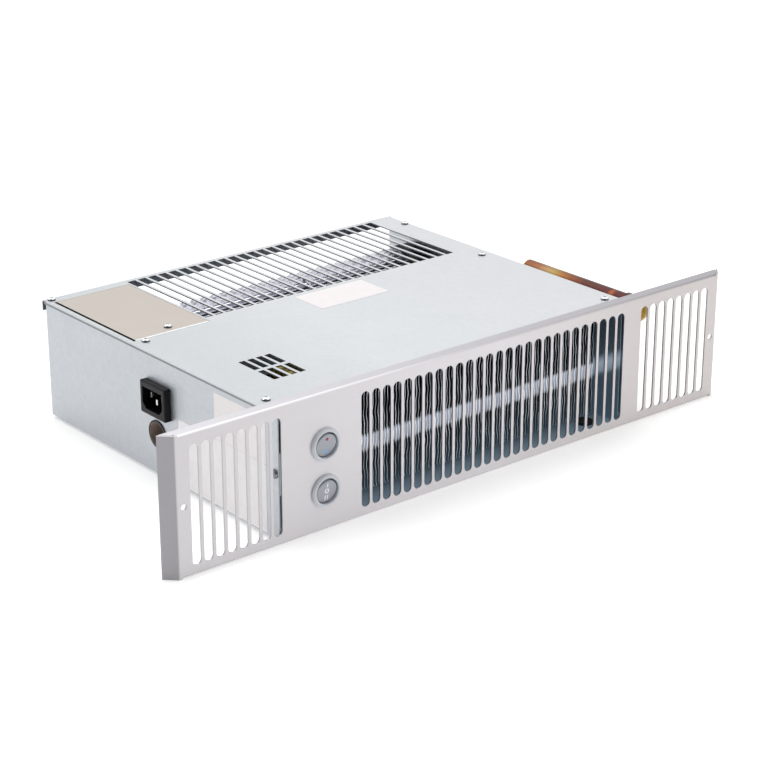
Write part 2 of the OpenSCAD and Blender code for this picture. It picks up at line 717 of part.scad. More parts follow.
// A tail of pipe along Y, with a ring of solder at its elbow's mouth
module tail(x, z) translate([x, tail_end, z]) rotate([90, 0, 0]) rotate_extrude() {
  mouth = tail_end - front_row_y - elbow_bend_r - socket_l - seat_gap;
  start = tail_end - front_row_y - elbow_bend_r - 1;
  polygon([
    [pipe_r - pipe_wall, 0], [pipe_r, 0], [pipe_r, mouth - solder_l], [pipe_r + solder_h, mouth - solder_l / 3],
    [pipe_r + solder_h, mouth], [pipe_r, mouth], [pipe_r, start], [pipe_r - pipe_wall, start]
  ]);
}

module flow_stub() part("#B5744F") stub(flow_x, high_tube_z);
module flow_elbow() part("#B08D3E") elbow(flow_x, high_tube_z);
module flow_tail() part("#B5744F") tail(flow_x, high_tube_z);
module return_stub() part("#B5744F") stub(return_x, low_tube_z);
module return_elbow() part("#B08D3E") elbow(return_x, low_tube_z);
module return_tail() part("#B5744F") tail(return_x, low_tube_z);

module pipe_grommets() part("#242426") at_pipe_holes(wall_x1 - sheet - 1.2) rotate_extrude() polygon([
  [pipe_r + seat_gap, 0], [pipe_hole_r + 0.8, 0], [pipe_hole_r + 0.8, 1.2], [pipe_hole_r - seat_gap, 1.2],
  [pipe_hole_r - seat_gap, 1.2 + sheet], [pipe_hole_r + 0.8, 1.2 + sheet], [pipe_hole_r + 0.8, 2.4 + sheet],
  [pipe_r + seat_gap, 2.4 + sheet]
]);

clip_x = stub_x0 + 3.2;
clip_w = 4;
clip_t = 0.8;
sensor_r = 5.5;

// A spring clip round the stub, open at the back, with a flat pad in front for the thermostat
module thermostat_clip() part("#C9CCCF") {
  difference() {
    union() {
      rod_x(pipe_r + seat_gap + clip_t, clip_x, clip_x + clip_w, front_row_y, high_tube_z);
      box([clip_x, front_row_y - pipe_r - 2 * clip_t, high_tube_z - 6],
          [clip_x + clip_w, front_row_y - pipe_r + 0.4, high_tube_z + 6]);
    }
    rod_x(pipe_r + seat_gap, clip_x - through, clip_x + clip_w + through, front_row_y, high_tube_z);
    box([clip_x - through, front_row_y + pipe_r - 3, high_tube_z - 12],
        [clip_x + clip_w + through, front_row_y + pipe_r + 3, high_tube_z + 12]);
  }
}

module low_limit_thermostat() part("#2E2A28") {
  back = front_row_y - pipe_r - 2 * clip_t;
  x = clip_x + clip_w / 2;
  rod_y(sensor_r, back - 5, back, x, high_tube_z);
  rod_y(sensor_r - 1, back - 9, back - 5, x, high_tube_z);
  for (side = [-1, 1])
    box([x - 0.4, back - 15, high_tube_z + side * 2.6 - 1.2], [x + 0.4, back - 9, high_tube_z + side * 2.6 + 1.2]);
}

// ---- Fan -----------------------------------------------------------------------------------

scroll_start = -30;
scroll_end = -90;
scroll_steps = 8;
scroll_gap = 2.5;
scroll_floor = base_top + 1.5;
tongue_angle = 150;

function scroll_point(a, r) = [fan_y + r * cos(a), fan_z + r * sin(a)];
function scroll_r(s) = impeller_r + scroll_gap + s * (fan_z - scroll_floor - impeller_r - scroll_gap);

module fan_scroll() part("#B9C0C6") {
  spiral = [
    for (i = [0 : scroll_steps])
      scroll_point(scroll_start + i * (scroll_end - scroll_start) / scroll_steps, scroll_r(i / scroll_steps))
  ];
  path = [
    spiral[0] + [7, 1], each spiral,
    [fan_plate_y + 16, scroll_floor], [fan_plate_y + 12, base_top + sheet / 2],
    [fan_plate_y, base_top + sheet / 2]
  ];
  sheet_x(path, duct_x0, fan_plate_x, sheet, 0.8);
}

tongue_tip = scroll_point(tongue_angle, impeller_r + impeller_gap + sheet);
tongue_y = case_back - intake_inset - intake_l + 1;

module fan_tongue() part("#B9C0C6") {
  path = [
    [tongue_y - 14, flange_mid], [tongue_y, flange_mid], tongue_tip, tongue_tip + [-1, -7]
  ];
  sheet_x(path, duct_x0, fan_plate_x, sheet, 0.8);
}

end_wall_overlap = 6;
end_wall_rear = 20;
tongue_slope = (flange_mid - tongue_tip[1]) / (tongue_tip[0] - tongue_y);
end_wall_top = min(lid_under, flange_mid - (fan_plate_y + end_wall_overlap - tongue_y) * tongue_slope);

// The fan's right end wall closes the air duct under the tongue and leaves the intake side of the impeller open
module fan_end_plate() part("#C4C9CD") difference() {
  mid_x = fan_plate_x + sheet / 2;
  flange_path = [
    [duct_x1 + sheet, fan_plate_y + sheet / 2], [mid_x, fan_plate_y + sheet / 2],
    [mid_x, fan_plate_y + end_wall_overlap + sheet]
  ];
  union() {
    sheet_z(flange_path, base_top, end_wall_top);
    translate([fan_plate_x, 0, 0]) rotate([90, 0, 90]) linear_extrude(height = sheet) {
      polygon([
        [fan_plate_y + end_wall_overlap, base_top], [fan_y + end_wall_rear, base_top],
        [fan_y + end_wall_rear, fan_z], tongue_tip, [fan_plate_y + end_wall_overlap, end_wall_top]
      ]);
      translate([fan_y, fan_z]) circle(r = impeller_r - 1);
    }
  }
  rod_x(hub_r + 1, mid_x - 2 * sheet, mid_x + 2 * sheet, fan_y, fan_z);
}

blade_steps = 5;
blade_lean = 14;
blade_bow = 9;

// A point of a blade's middle line, from the inner edge at s = 0 to the rim at s = 1, moved sideways by d
function blade_point(s, d) =
  let (r = impeller_r - 0.4 - blade_depth * (1 - s))
  let (a = blade_lean * s + blade_bow * 4 * s * (1 - s) + d / r * 180 / PI)
  [r * cos(a), r * sin(a)];

// A ring of curved blades, with the wheel's axis along X
module impeller() part("#8E959B") difference() {
  facing_x(impeller_x0, fan_y, fan_z) {
    l = impeller_x1 - impeller_x0;
    half = blade_t / 2;
    outline = [
      for (i = [0 : blade_steps]) blade_point(i / blade_steps, half),
      for (i = [blade_steps : -1 : 0]) blade_point(i / blade_steps, -half)
    ];
    for (i = [0 : blades - 1])
      rotate(i * 360 / blades) translate([0, 0, disc_t / 2]) linear_extrude(height = l - disc_t) polygon(outline);
    for (z = [0, l - disc_t]) translate([0, 0, z]) cylinder(r = impeller_r, h = disc_t);
    translate([0, 0, (l - disc_t) * 0.56]) difference() {
      cylinder(r = impeller_r, h = disc_t);
      translate([0, 0, -through]) cylinder(r = impeller_r - blade_depth - 3, h = disc_t + 2 * through);
    }
    cylinder(r = hub_r, h = hub_l);
    translate([0, 0, l - hub_l]) cylinder(r = hub_r, h = hub_l);
  }
  rod_x(shaft_d / 2 + seat_gap, impeller_x0 - through, impeller_x1 + through, fan_y, fan_z);
}

module stub_shaft() part("#9DA2A6") rod_x(shaft_d / 2, duct_x0 - 6, impeller_x0 + hub_l, fan_y, fan_z);

// A plain bush along X, h long, whose bore is the shaft and its running clearance
module bush(x, h, r = bush_r) facing_x(x, fan_y, fan_z) difference() {
  cylinder(r = r - seat_gap, h = h);
  translate([0, 0, -through]) cylinder(r = shaft_d / 2 + running_gap, h = h + 2 * through);
}

module bearing_bush() part("#A98B5A") bush(duct_x0 - 4.5, 8);

module bearing_grommet() part("#1F1F21") facing_x(duct_x0 - sheet - 2.5, fan_y, fan_z) rotate_extrude() polygon([
  [bush_r, 0], [fan_grommet_r + 2, 0], [fan_grommet_r + 2, 2.5], [fan_grommet_r - seat_gap, 2.5],
  [fan_grommet_r - seat_gap, 2.5 + sheet], [fan_grommet_r + 2, 2.5 + sheet], [fan_grommet_r + 2, 5 + sheet],
  [bush_r, 5 + sheet]
]);

// ---- Motor ---------------------------------------------------------------------------------

motor_r = motor_d / 2;
can_wall = 1.2;
boss_l = 3.5;
stack_z = 5;
stack_l = 7;
poles = 6;
stator_bore_r = 14.3;
rotor_r = 14;
yoke_r = 24;
pole_w = 7;
shoe_w = 11;
shoe_t = 2;
coil_start_r = 17;
coil_end_r = 23;
coil_side = 1.9;
coil_end = 1.6;
mount_r = 22;

module motor_can() part("#1B1B1D") facing_x(motor_x0, fan_y, fan_z) rotate_extrude() polygon([
  [bush_r, 0], [motor_r - 3, 0], [motor_r, 3], [motor_r, motor_l], [motor_r - can_wall, motor_l],
  [motor_r - can_wall, 3.5], [motor_r - 3.5, can_wall], [bush_r + 2, can_wall], [bush_r + 2, boss_l],
  [bush_r, boss_l]
]);

module motor_cap() part("#1B1B1D") facing_x(motor_x0 + motor_l, fan_y, fan_z) rotate_extrude() polygon([
  [bush_r, -boss_l + can_wall], [bush_r + 2, -boss_l + can_wall], [bush_r + 2, 0], [motor_r, 0],
  [motor_r - 0.8, can_wall], [bush_r, can_wall]
]);

module motor_bushes() part("#A98B5A") {
  bush(motor_x0, boss_l);
  bush(motor_x0 + motor_l - boss_l + can_wall, boss_l);
}

module motor_mounts() part("#242426") facing_x(fan_plate_x + sheet, fan_y, fan_z)
  for (i = [0 : 2]) rotate(i * 120) translate([mount_r, 0, 0]) cylinder(r = 4, h = motor_x0 - fan_plate_x - sheet);

// A laminated ring with poles that reach in to the rotor
module motor_stator() part("#6B7075") facing_x(motor_x0 + stack_z, fan_y, fan_z) linear_extrude(height = stack_l)
  difference() {
    circle(r = motor_r - can_wall - seat_gap);
    difference() {
      circle(r = yoke_r);
      for (i = [0 : poles - 1]) rotate(i * 360 / poles) {
        translate([0, -pole_w / 2]) square([yoke_r + through, pole_w]);
        translate([0, -shoe_w / 2]) square([stator_bore_r + shoe_t, shoe_w]);
      }
    }
    circle(r = stator_bore_r);
  }

module motor_windings() part("#B26A3C") facing_x(motor_x0 + stack_z, fan_y, fan_z)
  for (i = [0 : poles - 1]) rotate(i * 360 / poles) difference() {
    translate([coil_start_r, -pole_w / 2 - coil_side, -coil_end])
      cube([coil_end_r - coil_start_r, pole_w + 2 * coil_side, stack_l + 2 * coil_end]);
    translate([coil_start_r - through, -pole_w / 2 - seat_gap, -seat_gap])
      cube([coil_end_r - coil_start_r + 2 * through, pole_w + 2 * seat_gap, stack_l + 2 * seat_gap]);
  }

module motor_rotor() part("#7A7E82") facing_x(motor_x0 + stack_z, fan_y, fan_z) difference() {
  cylinder(r = rotor_r, h = stack_l);
  translate([0, 0, -through]) cylinder(r = shaft_d / 2 + seat_gap, h = stack_l + 2 * through);
}

module motor_shaft() part("#9DA2A6")
  rod_x(shaft_d / 2, impeller_x1 - hub_l, motor_x0 + motor_l + can_wall - 0.4, fan_y, fan_z);

// ---- Wiring compartment --------------------------------------------------------------------

core_limb = 5;
core_yoke = 7;
core_window = 11;
core_w = 2 * core_limb + core_window;
core_d = 38;
core_stack = 16;
winding_t = 5;
winding_wall_gap = 0.5;
winding_lid_gap = 2.5;
core_x0 = duct_x0 - sheet - winding_wall_gap - winding_t - core_w;
core_y = 49;
core_z = lid_under - winding_lid_gap - winding_t - core_stack;
strap_leg = 16;
terminal_ways = 8;
terminal_pitch = 8;
terminal_w = 18;
terminal_h = 14;
terminal_x = compartment_x0 + 26;
terminal_y = 192;

// Laminated core: a ring with its window open to above and below
module transformer_core() part("#4C4F52") translate([core_x0, core_y, core_z]) difference() {
  cube([core_w, core_d, core_stack]);
  translate([core_limb, core_yoke, -through])
    cube([core_window, core_d - 2 * core_yoke, core_stack + 2 * through]);
}

// The winding wraps the core's right limb and stands out all round it
module transformer_coil() part("#7A6A1E") translate([core_x0 + core_w - core_limb, core_y + core_yoke, core_z]) {
  l = core_d - 2 * core_yoke;
  difference() {
    translate([-winding_t, seat_gap, -winding_t])
      cube([core_limb + 2 * winding_t, l - 2 * seat_gap, core_stack + 2 * winding_t]);
    translate([-seat_gap, -through, -seat_gap])
      cube([core_limb + 2 * seat_gap, l + 2 * through, core_stack + 2 * seat_gap]);
  }
}

// Two straps from the partition, one under each yoke of the core
module transformer_bracket() part("#B9BEC2") {
  path = [
    [duct_x0 - sheet * 1.5, core_z - strap_leg], [duct_x0 - sheet * 1.5, core_z - sheet / 2],
    [core_x0, core_z - sheet / 2]
  ];
  for (y = [core_y, core_y + core_d - core_yoke]) sheet_y(path, y, y + core_yoke);
}

module terminal_block() part("#D8D4C8") translate([terminal_x, terminal_y, base_top]) difference() {
  union() {
    cube([terminal_w, terminal_ways * terminal_pitch, terminal_h - 4]);
    translate([4, 0, 0]) cube([terminal_w - 8, terminal_ways * terminal_pitch, terminal_h]);
  }
  for (i = [0 : terminal_ways - 1]) {
    translate([terminal_w / 2, (i + 0.5) * terminal_pitch, 4]) cylinder(r = 2.3, h = terminal_h);
    translate([-through, (i + 0.5) * terminal_pitch, 5]) rotate([0, 90, 0]) cylinder(r = 1.6, h = 6);
  }
}

module terminal_screws() part("#B9A35B") for (i = [0 : terminal_ways - 1])
  translate([terminal_x + terminal_w / 2, terminal_y + (i + 0.5) * terminal_pitch, base_top + 4]) difference() {
    cylinder(r = 2.2, h = 5);
    translate([-3, -0.4, 3.8]) cube([6, 0.8, 2]);
  }

// ---- Mains inlet and cable hole ------------------------------------------------------------

recess_w = 24.4;
recess_h = 16;
recess_d = 15;
recess_cut = 4;
inlet_depth = 18;
pin_pitch = 7;
pin_w = 2;
pin_h = 4;
pin_z = 2;

// The recess has its two lower corners cut off
module inlet_recess() rotate([90, 0, 90]) linear_extrude(height = recess_d + through) polygon([
  [-recess_w / 2 + recess_cut, -recess_h / 2], [recess_w / 2 - recess_cut, -recess_h / 2],
  [recess_w / 2, -recess_h / 2 + recess_cut], [recess_w / 2, recess_h / 2],
  [-recess_w / 2, recess_h / 2], [-recess_w / 2, -recess_h / 2 + recess_cut]
]);

module inlet_body() part("#1E1C22") translate([wall_x0, inlet_y, inlet_z]) difference() {
  union() {
    translate([-inlet_flange, 0, 0]) cube_x(inlet_flange, inlet_w, inlet_h);
    cube_x(inlet_depth - inlet_flange, inlet_body_w, inlet_body_h);
  }
  translate([-inlet_flange - through, 0, 0]) inlet_recess();
  at_inlet_pins() cube_x(inlet_depth + through, pin_w, pin_h, seat_gap);
}

// Puts a piece at each of the three pins, the middle one lower
module at_inlet_pins() {
  for (i = [-1, 0, 1]) translate([-inlet_flange + 4, i * pin_pitch, i == 0 ? -pin_z : pin_z]) children();
}

module inlet_pins() part("#C9CCCF") translate([wall_x0, inlet_y, inlet_z]) at_inlet_pins() cube_x(22, pin_w, pin_h);

module cable_liner() part("#A08F82") facing_x(wall_x0 - 0.8, cable_hole_y, cable_hole_z) rotate_extrude() polygon([
  [cable_hole_d / 2, 0], [cable_hole_d / 2 + 1.6, 0], [cable_hole_d / 2 + 1.6, 0.8],
  [cable_hole_d / 2 + liner_wall - seat_gap, 0.8], [cable_hole_d / 2 + liner_wall - seat_gap, 16],
  [cable_hole_d / 2, 16]
]);

// ---- Switches ------------------------------------------------------------------------------

barrel_l = 22;
cavity_l = 7;
pivot_pin_r = 1;
pivot_reach = 9.75;
opening_r = bezel_opening_d / 2;
bezel_r = bezel_d / 2;

// A round switch body along Y: domed bezel, barrel with a cavity, and the holes for the rocker's pins
module switch_body(z) translate([-switch_x, 0, z]) rotate([-90, 0, 0]) difference() {
  rotate_extrude() polygon([
    [opening_r, -bezel_proud + 0.4], [opening_r + 0.4, -bezel_proud],
    for (a = [0 : 15 : 75])
      [bezel_r - 2 * (1 - sin(a + 15)) , -bezel_proud * cos(a + 15)],
    [bezel_r, 0], [barrel_d / 2, 0], [barrel_d / 2, barrel_l], [0, barrel_l], [0, cavity_l],
    [opening_r, cavity_l]
  ]);
  rotate([0, 90, 0]) translate([-rocker_pivot_y, 0, -barrel_d])
    cylinder(r = pivot_pin_r + running_gap, h = 2 * barrel_d);
}

// A round rocker on two pins along X, drawn with its lower end pressed in
module rocker(z) translate([-switch_x, rocker_pivot_y, z]) rotate([rocker_tilt, 0, 0]) {
  rotate([90, 0, 0]) translate([0, 0, -rocker_back]) rotate_extrude() polygon([
    [0, 0], [rocker_d / 2, 0], [rocker_d / 2, rocker_back + rocker_face - 0.5],
    [rocker_d / 2 - 0.5, rocker_back + rocker_face], [0, rocker_back + rocker_face]
  ]);
  rod_x(pivot_pin_r, -pivot_reach, pivot_reach, 0, 0);
}

module heat_switch_body() part("#8A8E95") switch_body(heat_switch_z);
module heat_rocker() part("#9BA0A8") rocker(heat_switch_z);
module fan_switch_body() part("#8A8E95") switch_body(fan_switch_z);
module fan_rocker() part("#9BA0A8") rocker(fan_switch_z);

module switch_terminals() part("#C9B26A") for (z = [heat_switch_z, fan_switch_z], i = [-1, 0, 1])
  box([-switch_x - 3.15, barrel_l, z + i * 6 - 0.4], [-switch_x + 3.15, barrel_l + 8, z + i * 6 + 0.4]);

// ---- The assembly --------------------------------------------------------------------------

front_grille();
grille_bracket_left();
grille_bracket_right();
bracket_screws();
casing();
side_panel();
lid_rail();
feet();
lid();
lid_screws();
access_cover();
cover_screw();
partition();
duct_wall();
base_grommet();
fin_pack();
coil_hairpins();
return_bends();
coil_end_plate_left();
coil_end_plate_right();
coil_screws();
flow_stub();
flow_elbow();
flow_tail();
return_stub();
return_elbow();
return_tail();
pipe_grommets();
thermostat_clip();
low_limit_thermostat();
fan_scroll();
fan_tongue();
fan_end_plate();
impeller();
stub_shaft();
bearing_bush();
bearing_grommet();
motor_can();
motor_cap();
motor_bushes();
motor_mounts();
motor_stator();
motor_windings();
motor_rotor();
motor_shaft();
transformer_core();
transformer_coil();
transformer_bracket();
terminal_block();
terminal_screws();
inlet_body();
inlet_pins();
cable_liner();
heat_switch_body();
heat_rocker();
fan_switch_body();
fan_rocker();
switch_terminals();
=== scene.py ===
import json
import math
import random

import bmesh
import bpy
from mathutils import Matrix, Vector

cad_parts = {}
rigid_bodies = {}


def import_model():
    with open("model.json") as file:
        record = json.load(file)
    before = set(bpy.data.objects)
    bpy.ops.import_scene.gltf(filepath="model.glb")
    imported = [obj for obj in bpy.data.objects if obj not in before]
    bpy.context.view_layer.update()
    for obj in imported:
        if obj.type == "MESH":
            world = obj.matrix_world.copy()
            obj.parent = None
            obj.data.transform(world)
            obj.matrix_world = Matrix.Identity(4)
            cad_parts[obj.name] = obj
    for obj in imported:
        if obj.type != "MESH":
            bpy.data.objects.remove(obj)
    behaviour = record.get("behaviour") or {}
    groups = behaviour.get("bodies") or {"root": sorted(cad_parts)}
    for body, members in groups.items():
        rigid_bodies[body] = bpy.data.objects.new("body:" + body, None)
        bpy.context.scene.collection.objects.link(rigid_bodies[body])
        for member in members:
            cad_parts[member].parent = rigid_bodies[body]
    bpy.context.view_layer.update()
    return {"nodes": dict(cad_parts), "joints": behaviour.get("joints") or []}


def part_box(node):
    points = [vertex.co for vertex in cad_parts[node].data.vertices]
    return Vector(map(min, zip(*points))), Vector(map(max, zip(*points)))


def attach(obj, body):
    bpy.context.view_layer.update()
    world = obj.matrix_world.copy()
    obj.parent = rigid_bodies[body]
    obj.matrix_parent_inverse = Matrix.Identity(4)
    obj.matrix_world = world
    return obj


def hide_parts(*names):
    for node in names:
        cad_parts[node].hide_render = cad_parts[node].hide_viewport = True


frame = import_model()
MM = 0.001

# %% [markdown]
# The view. The heater is photographed from its front left and from a little above, with a long lens, so
# that its long edges stay nearly parallel. A camera is easiest to place by what it looks at: a target, a
# turn round the object, a height above the horizon and a distance. The picture is square.
# %% Camera
VIEW_TARGET = Vector((-11.6, -61.4, 50.0)) * MM
VIEW_AZIMUTH = math.radians(-39.54)
VIEW_ELEVATION = math.radians(21.58)
VIEW_DISTANCE = 1542 * MM
SENSOR_MM = 36.0
LENS_MM = 99.4

view_back = Vector((
    math.sin(VIEW_AZIMUTH) * math.cos(VIEW_ELEVATION),
    -math.cos(VIEW_AZIMUTH) * math.cos(VIEW_ELEVATION),
    math.sin(VIEW_ELEVATION),
))
lens = bpy.data.cameras.new("camera")
lens.lens = LENS_MM
lens.sensor_width = SENSOR_MM
camera = bpy.data.objects.new("camera", lens)
camera.location = VIEW_TARGET + view_back * VIEW_DISTANCE
camera.rotation_mode = "QUATERNION"
camera.rotation_quaternion = (-view_back).to_track_quat("-Z", "Y")
bpy.context.scene.collection.objects.link(camera)
bpy.context.scene.camera = camera
print("camera at", [round(c, 3) for c in camera.location])

# %% [markdown]
# Colours. They are written as sRGB hex values, as a painter's colour picker gives them, and one function
# turns them into the linear light that the renderer works in. The standard view keeps them as they are,
# where a filmic view would grey the whites of a product picture.
# %% Colours
bpy.context.scene.view_settings.view_transform = "Standard"
WHITE = "#FFFFFF"
BLACK = "#000000"


def colour(hex_value):
    """The linear RGBA colour of an sRGB hex value such as #CBD0D4."""
    channels = [int(hex_value[i:i + 2], 16) / 255 for i in (1, 3, 5)]
    return (*[c / 12.92 if c <= 0.04045 else ((c + 0.055) / 1.055) ** 2.4 for c in channels], 1.0)


print("a zinc grey in linear light:", [round(c, 3) for c in colour("#BFC3C8")])

# %% [markdown]
# Materials are small networks of nodes. One helper adds a node: keyword settings are its own properties,
# and the dictionary fills its sockets, with a value or with another node's output. A colour ramp also
# takes its stops, each a position from 0 to 1 and a tone. The same filling of sockets serves the shader.
# %% Node helpers
def fill(tree, node, inputs):
    """Fills a node's sockets, each with a value or with another node's output."""
    for name, value in inputs.items():
        if isinstance(value, bpy.types.NodeSocket):
            tree.links.new(value, node.inputs[name])
        else:
            node.inputs[name].default_value = value


def add(tree, kind, inputs=None, stops=(), **settings):
    """Adds a node to a material's tree, with its settings, values, links and a ramp's stops."""
    node = tree.nodes.new(kind)
    for name, value in settings.items():
        setattr(node, name, value)
    fill(tree, node, inputs or {})
    for _ in stops[2:]:
        node.color_ramp.elements.new(1.0)
    for number, (position, tone) in enumerate(stops):
        node.color_ramp.elements[number].position = position
        node.color_ramp.elements[number].color = colour(tone)
    return node


def new_finish(name, **values):
    """A new material, its tree, its shader with the given values, and the object's own coordinates."""
    material = bpy.data.materials.new(name)
    material.use_nodes = True
    tree = material.node_tree
    shader = tree.nodes["Principled BSDF"]
    fill(tree, shader, {socket.replace("_", " "): value for socket, value in values.items()})
    return material, tree, shader, add(tree, "ShaderNodeTexCoord").outputs["Object"]


# %% [markdown]
# Mottling. Hardly any real surface has one even tone. This step is shared by most of the finishes: a soft
# noise moves the colour between two near neighbours and the roughness a little up and down, and a finer
# noise gives the shader a slight bump. A pattern's scale counts its cells in a metre, so a helper works
# it out from the real size of one cell: a few millimetres for stains, a few tenths for grain.
# %% Mottle helper
GRAIN_DEPTH_MM = 0.02


def cells_of(size_mm):
    """The scale at which one cell of a pattern is so many millimetres wide."""
    return 1 / (size_mm * MM)


def mottle(tree, shader, place, light, dark, patch_mm, grain_mm, rough, spread=0.06, bump=0.1):
    """Blends two tones in soft patches, varies the roughness with them, adds a fine grain and returns
    the blended tones."""
    patches = add(tree, "ShaderNodeTexNoise", {
        "Vector": place, "Scale": cells_of(patch_mm), "Detail": 4.0,
    }).outputs["Fac"]
    tones = add(tree, "ShaderNodeMix", {
        0: patches, 6: colour(dark), 7: colour(light),
    }, data_type="RGBA").outputs[2]
    shine = add(tree, "ShaderNodeMapRange", {
        "Value": patches, "To Min": rough + spread, "To Max": rough - spread,
    })
    grain = add(tree, "ShaderNodeTexNoise", {"Vector": place, "Scale": cells_of(grain_mm), "Detail": 2.0})
    relief = add(tree, "ShaderNodeBump", {
        "Height": grain.outputs["Fac"], "Strength": bump, "Distance": GRAIN_DEPTH_MM * MM,
    })
    fill(tree, shader, {
        "Base Color": tones, "Roughness": shine.outputs["Result"], "Normal": relief.outputs["Normal"],
    })
    return tones


print("scale for cells of 3 mm:", round(cells_of(3.0), 1))

# %% [markdown]
# Painted shade. This helper gives one tone to the faces that look up and another to all others, so that
# the finishes can paint shade on flanks, cut edges and recesses, or a bluish shade on the faces that look
# up. The Z share of a face's normal tells which way it looks: 1 is straight up and 0 is level.
# %% Upward helper
UPWARD_Z = 0.5


def only_upward(tree, below, above):
    """Picks the second tone where the surface looks up, and the first elsewhere."""
    normal = add(tree, "ShaderNodeTexCoord").outputs["Normal"]
    height = add(tree, "ShaderNodeSeparateXYZ", {"Vector": normal}).outputs["Z"]
    upward = add(tree, "ShaderNodeMath", {0: height, 1: UPWARD_Z}, operation="GREATER_THAN")
    return add(tree, "ShaderNodeMix", {
        0: upward.outputs["Value"], 6: below, 7: above,
    }, data_type="RGBA").outputs[2]


# %% [markdown]
# Painted shade along the heater. A colour ramp can run from the heater's left end to its right end.
# Multiplied with a finish's own tones, it paints light and shade that change from one end to the other.
# %% Helpers for painted shade along X
LEFT_END_MM = -250.0
RIGHT_END_MM = 250.0


def along_x(tree, place, stops):
    """A ramp of tones from the heater's left end to its right end."""
    along = add(tree, "ShaderNodeSeparateXYZ", {"Vector": place}).outputs["X"]
    share = add(tree, "ShaderNodeMapRange", {
        "Value": along, "From Min": LEFT_END_MM * MM, "From Max": RIGHT_END_MM * MM,
    })
    return add(tree, "ShaderNodeValToRGB", {"Fac": share.outputs["Result"]}, stops).outputs["Color"]


def drift(tree, place, tones, stops):
    """Tones multiplied by a ramp along X."""
    return add(tree, "ShaderNodeMix", {
        0: 1.0, 6: tones, 7: along_x(tree, place, stops),
    }, data_type="RGBA", blend_type="MULTIPLY").outputs[2]


print("tones drift over", RIGHT_END_MM - LEFT_END_MM, "mm")

# %% [markdown]
# The tones of the grille plate. The bend at its top, the flange behind it and the two splayed ends mirror
# other parts of the room than the face does, and each is painted with a tone that stands in for that: a
# painted reflection on the bend, white at its left end, and painted shade on the flange, the splayed ends
# and the long walls of the slots. Each is picked by where its normal points and blended in over a range,
# because a bend turns gradually. Bend and flange are painted darker to the right.
# %% Tones of the grille plate
GROUND_TONES = ("#D6D3D6", "#E2DFE2")
# The plate's painted shade along X: full in the middle, a little darker at the left, darker and warmer at the
# right.
PLATE_SHADE_DRIFT = ((0.0, "#F4F4F4"), (0.4, WHITE), (0.55, WHITE), (0.85, "#EEEBE7"))
BEND_REFLECTION_TONES = ((0.0, WHITE), (0.3, "#F2F0F3"), (0.5, "#CFCDD0"), (1.0, "#A2A0A3"))
FLANGE_SHADE_TONES = ((0.0, "#CFCDD1"), (1.0, "#BDBBBF"))
SPLAY_SHADE_TONE = "#B6B4B8"
BEND_Z = (0.45, 0.65)
FLANGE_Z = (0.85, 0.97)
SPLAY_X = (0.3, 0.6)


def plate_tones(tree, place, normal, brushing):
    """The ground face's tones, with the bend's painted reflection and the painted shade of flange and ends.
    """
    ground = add(tree, "ShaderNodeMix", {
        0: brushing, 6: colour(GROUND_TONES[0]), 7: colour(GROUND_TONES[1]),
    }, data_type="RGBA").outputs[2]
    tones = drift(tree, place, ground, PLATE_SHADE_DRIFT)
    way = add(tree, "ShaderNodeSeparateXYZ", {"Vector": normal}).outputs
    sideways = add(tree, "ShaderNodeMath", {0: way["X"]}, operation="ABSOLUTE").outputs["Value"]
    # Painted reflection on the bend, painted shade on the flange and on the splayed ends.
    for looks, (start, full), tone in (
        (way["Z"], BEND_Z, along_x(tree, place, BEND_REFLECTION_TONES)),
        (way["Z"], FLANGE_Z, along_x(tree, place, FLANGE_SHADE_TONES)),
        (sideways, SPLAY_X, colour(SPLAY_SHADE_TONE)),
    ):
        share = add(tree, "ShaderNodeMapRange", {"Value": looks, "From Min": start, "From Max": full})
        tones = add(tree, "ShaderNodeMix", {
            0: share.outputs["Result"], 6: tones, 7: tone,
        }, data_type="RGBA").outputs[2]
    return tones


bend_angles = [round(math.degrees(math.asin(z))) for z in BEND_Z]
print("the bend's tone blends in between these degrees above level:", bend_angles)

# %% [markdown]
# Brushed stainless steel, for the grille plate. The sheet is ground with a belt along its length, which
# leaves fine parallel lines and a satin sheen that spreads up and down but not sideways. The lines are
# noise that is stretched along X: 0.2 mm apart and 40 mm long, coarser than the real ones so that they
# show. The shader's anisotropy spreads the sheen across them, along a tangent that is the surface's
# normal crossed with X. The long walls inside the slots look along X, where that product is zero and the
# sheen would turn black, so a small step along Z is added. A bevel node rounds the normals within 0.35 mm
# of an edge, as deburring does, so that the slots' rims glint.
# %% Brushed stainless steel
BRUSH_LINE_MM = 0.2
BRUSH_LENGTH_MM = 40.0
BRUSH_DEPTH_MM = 0.02
EDGE_MM = 0.35
NEVER_ZERO = (0.0, 0.0, 0.01)


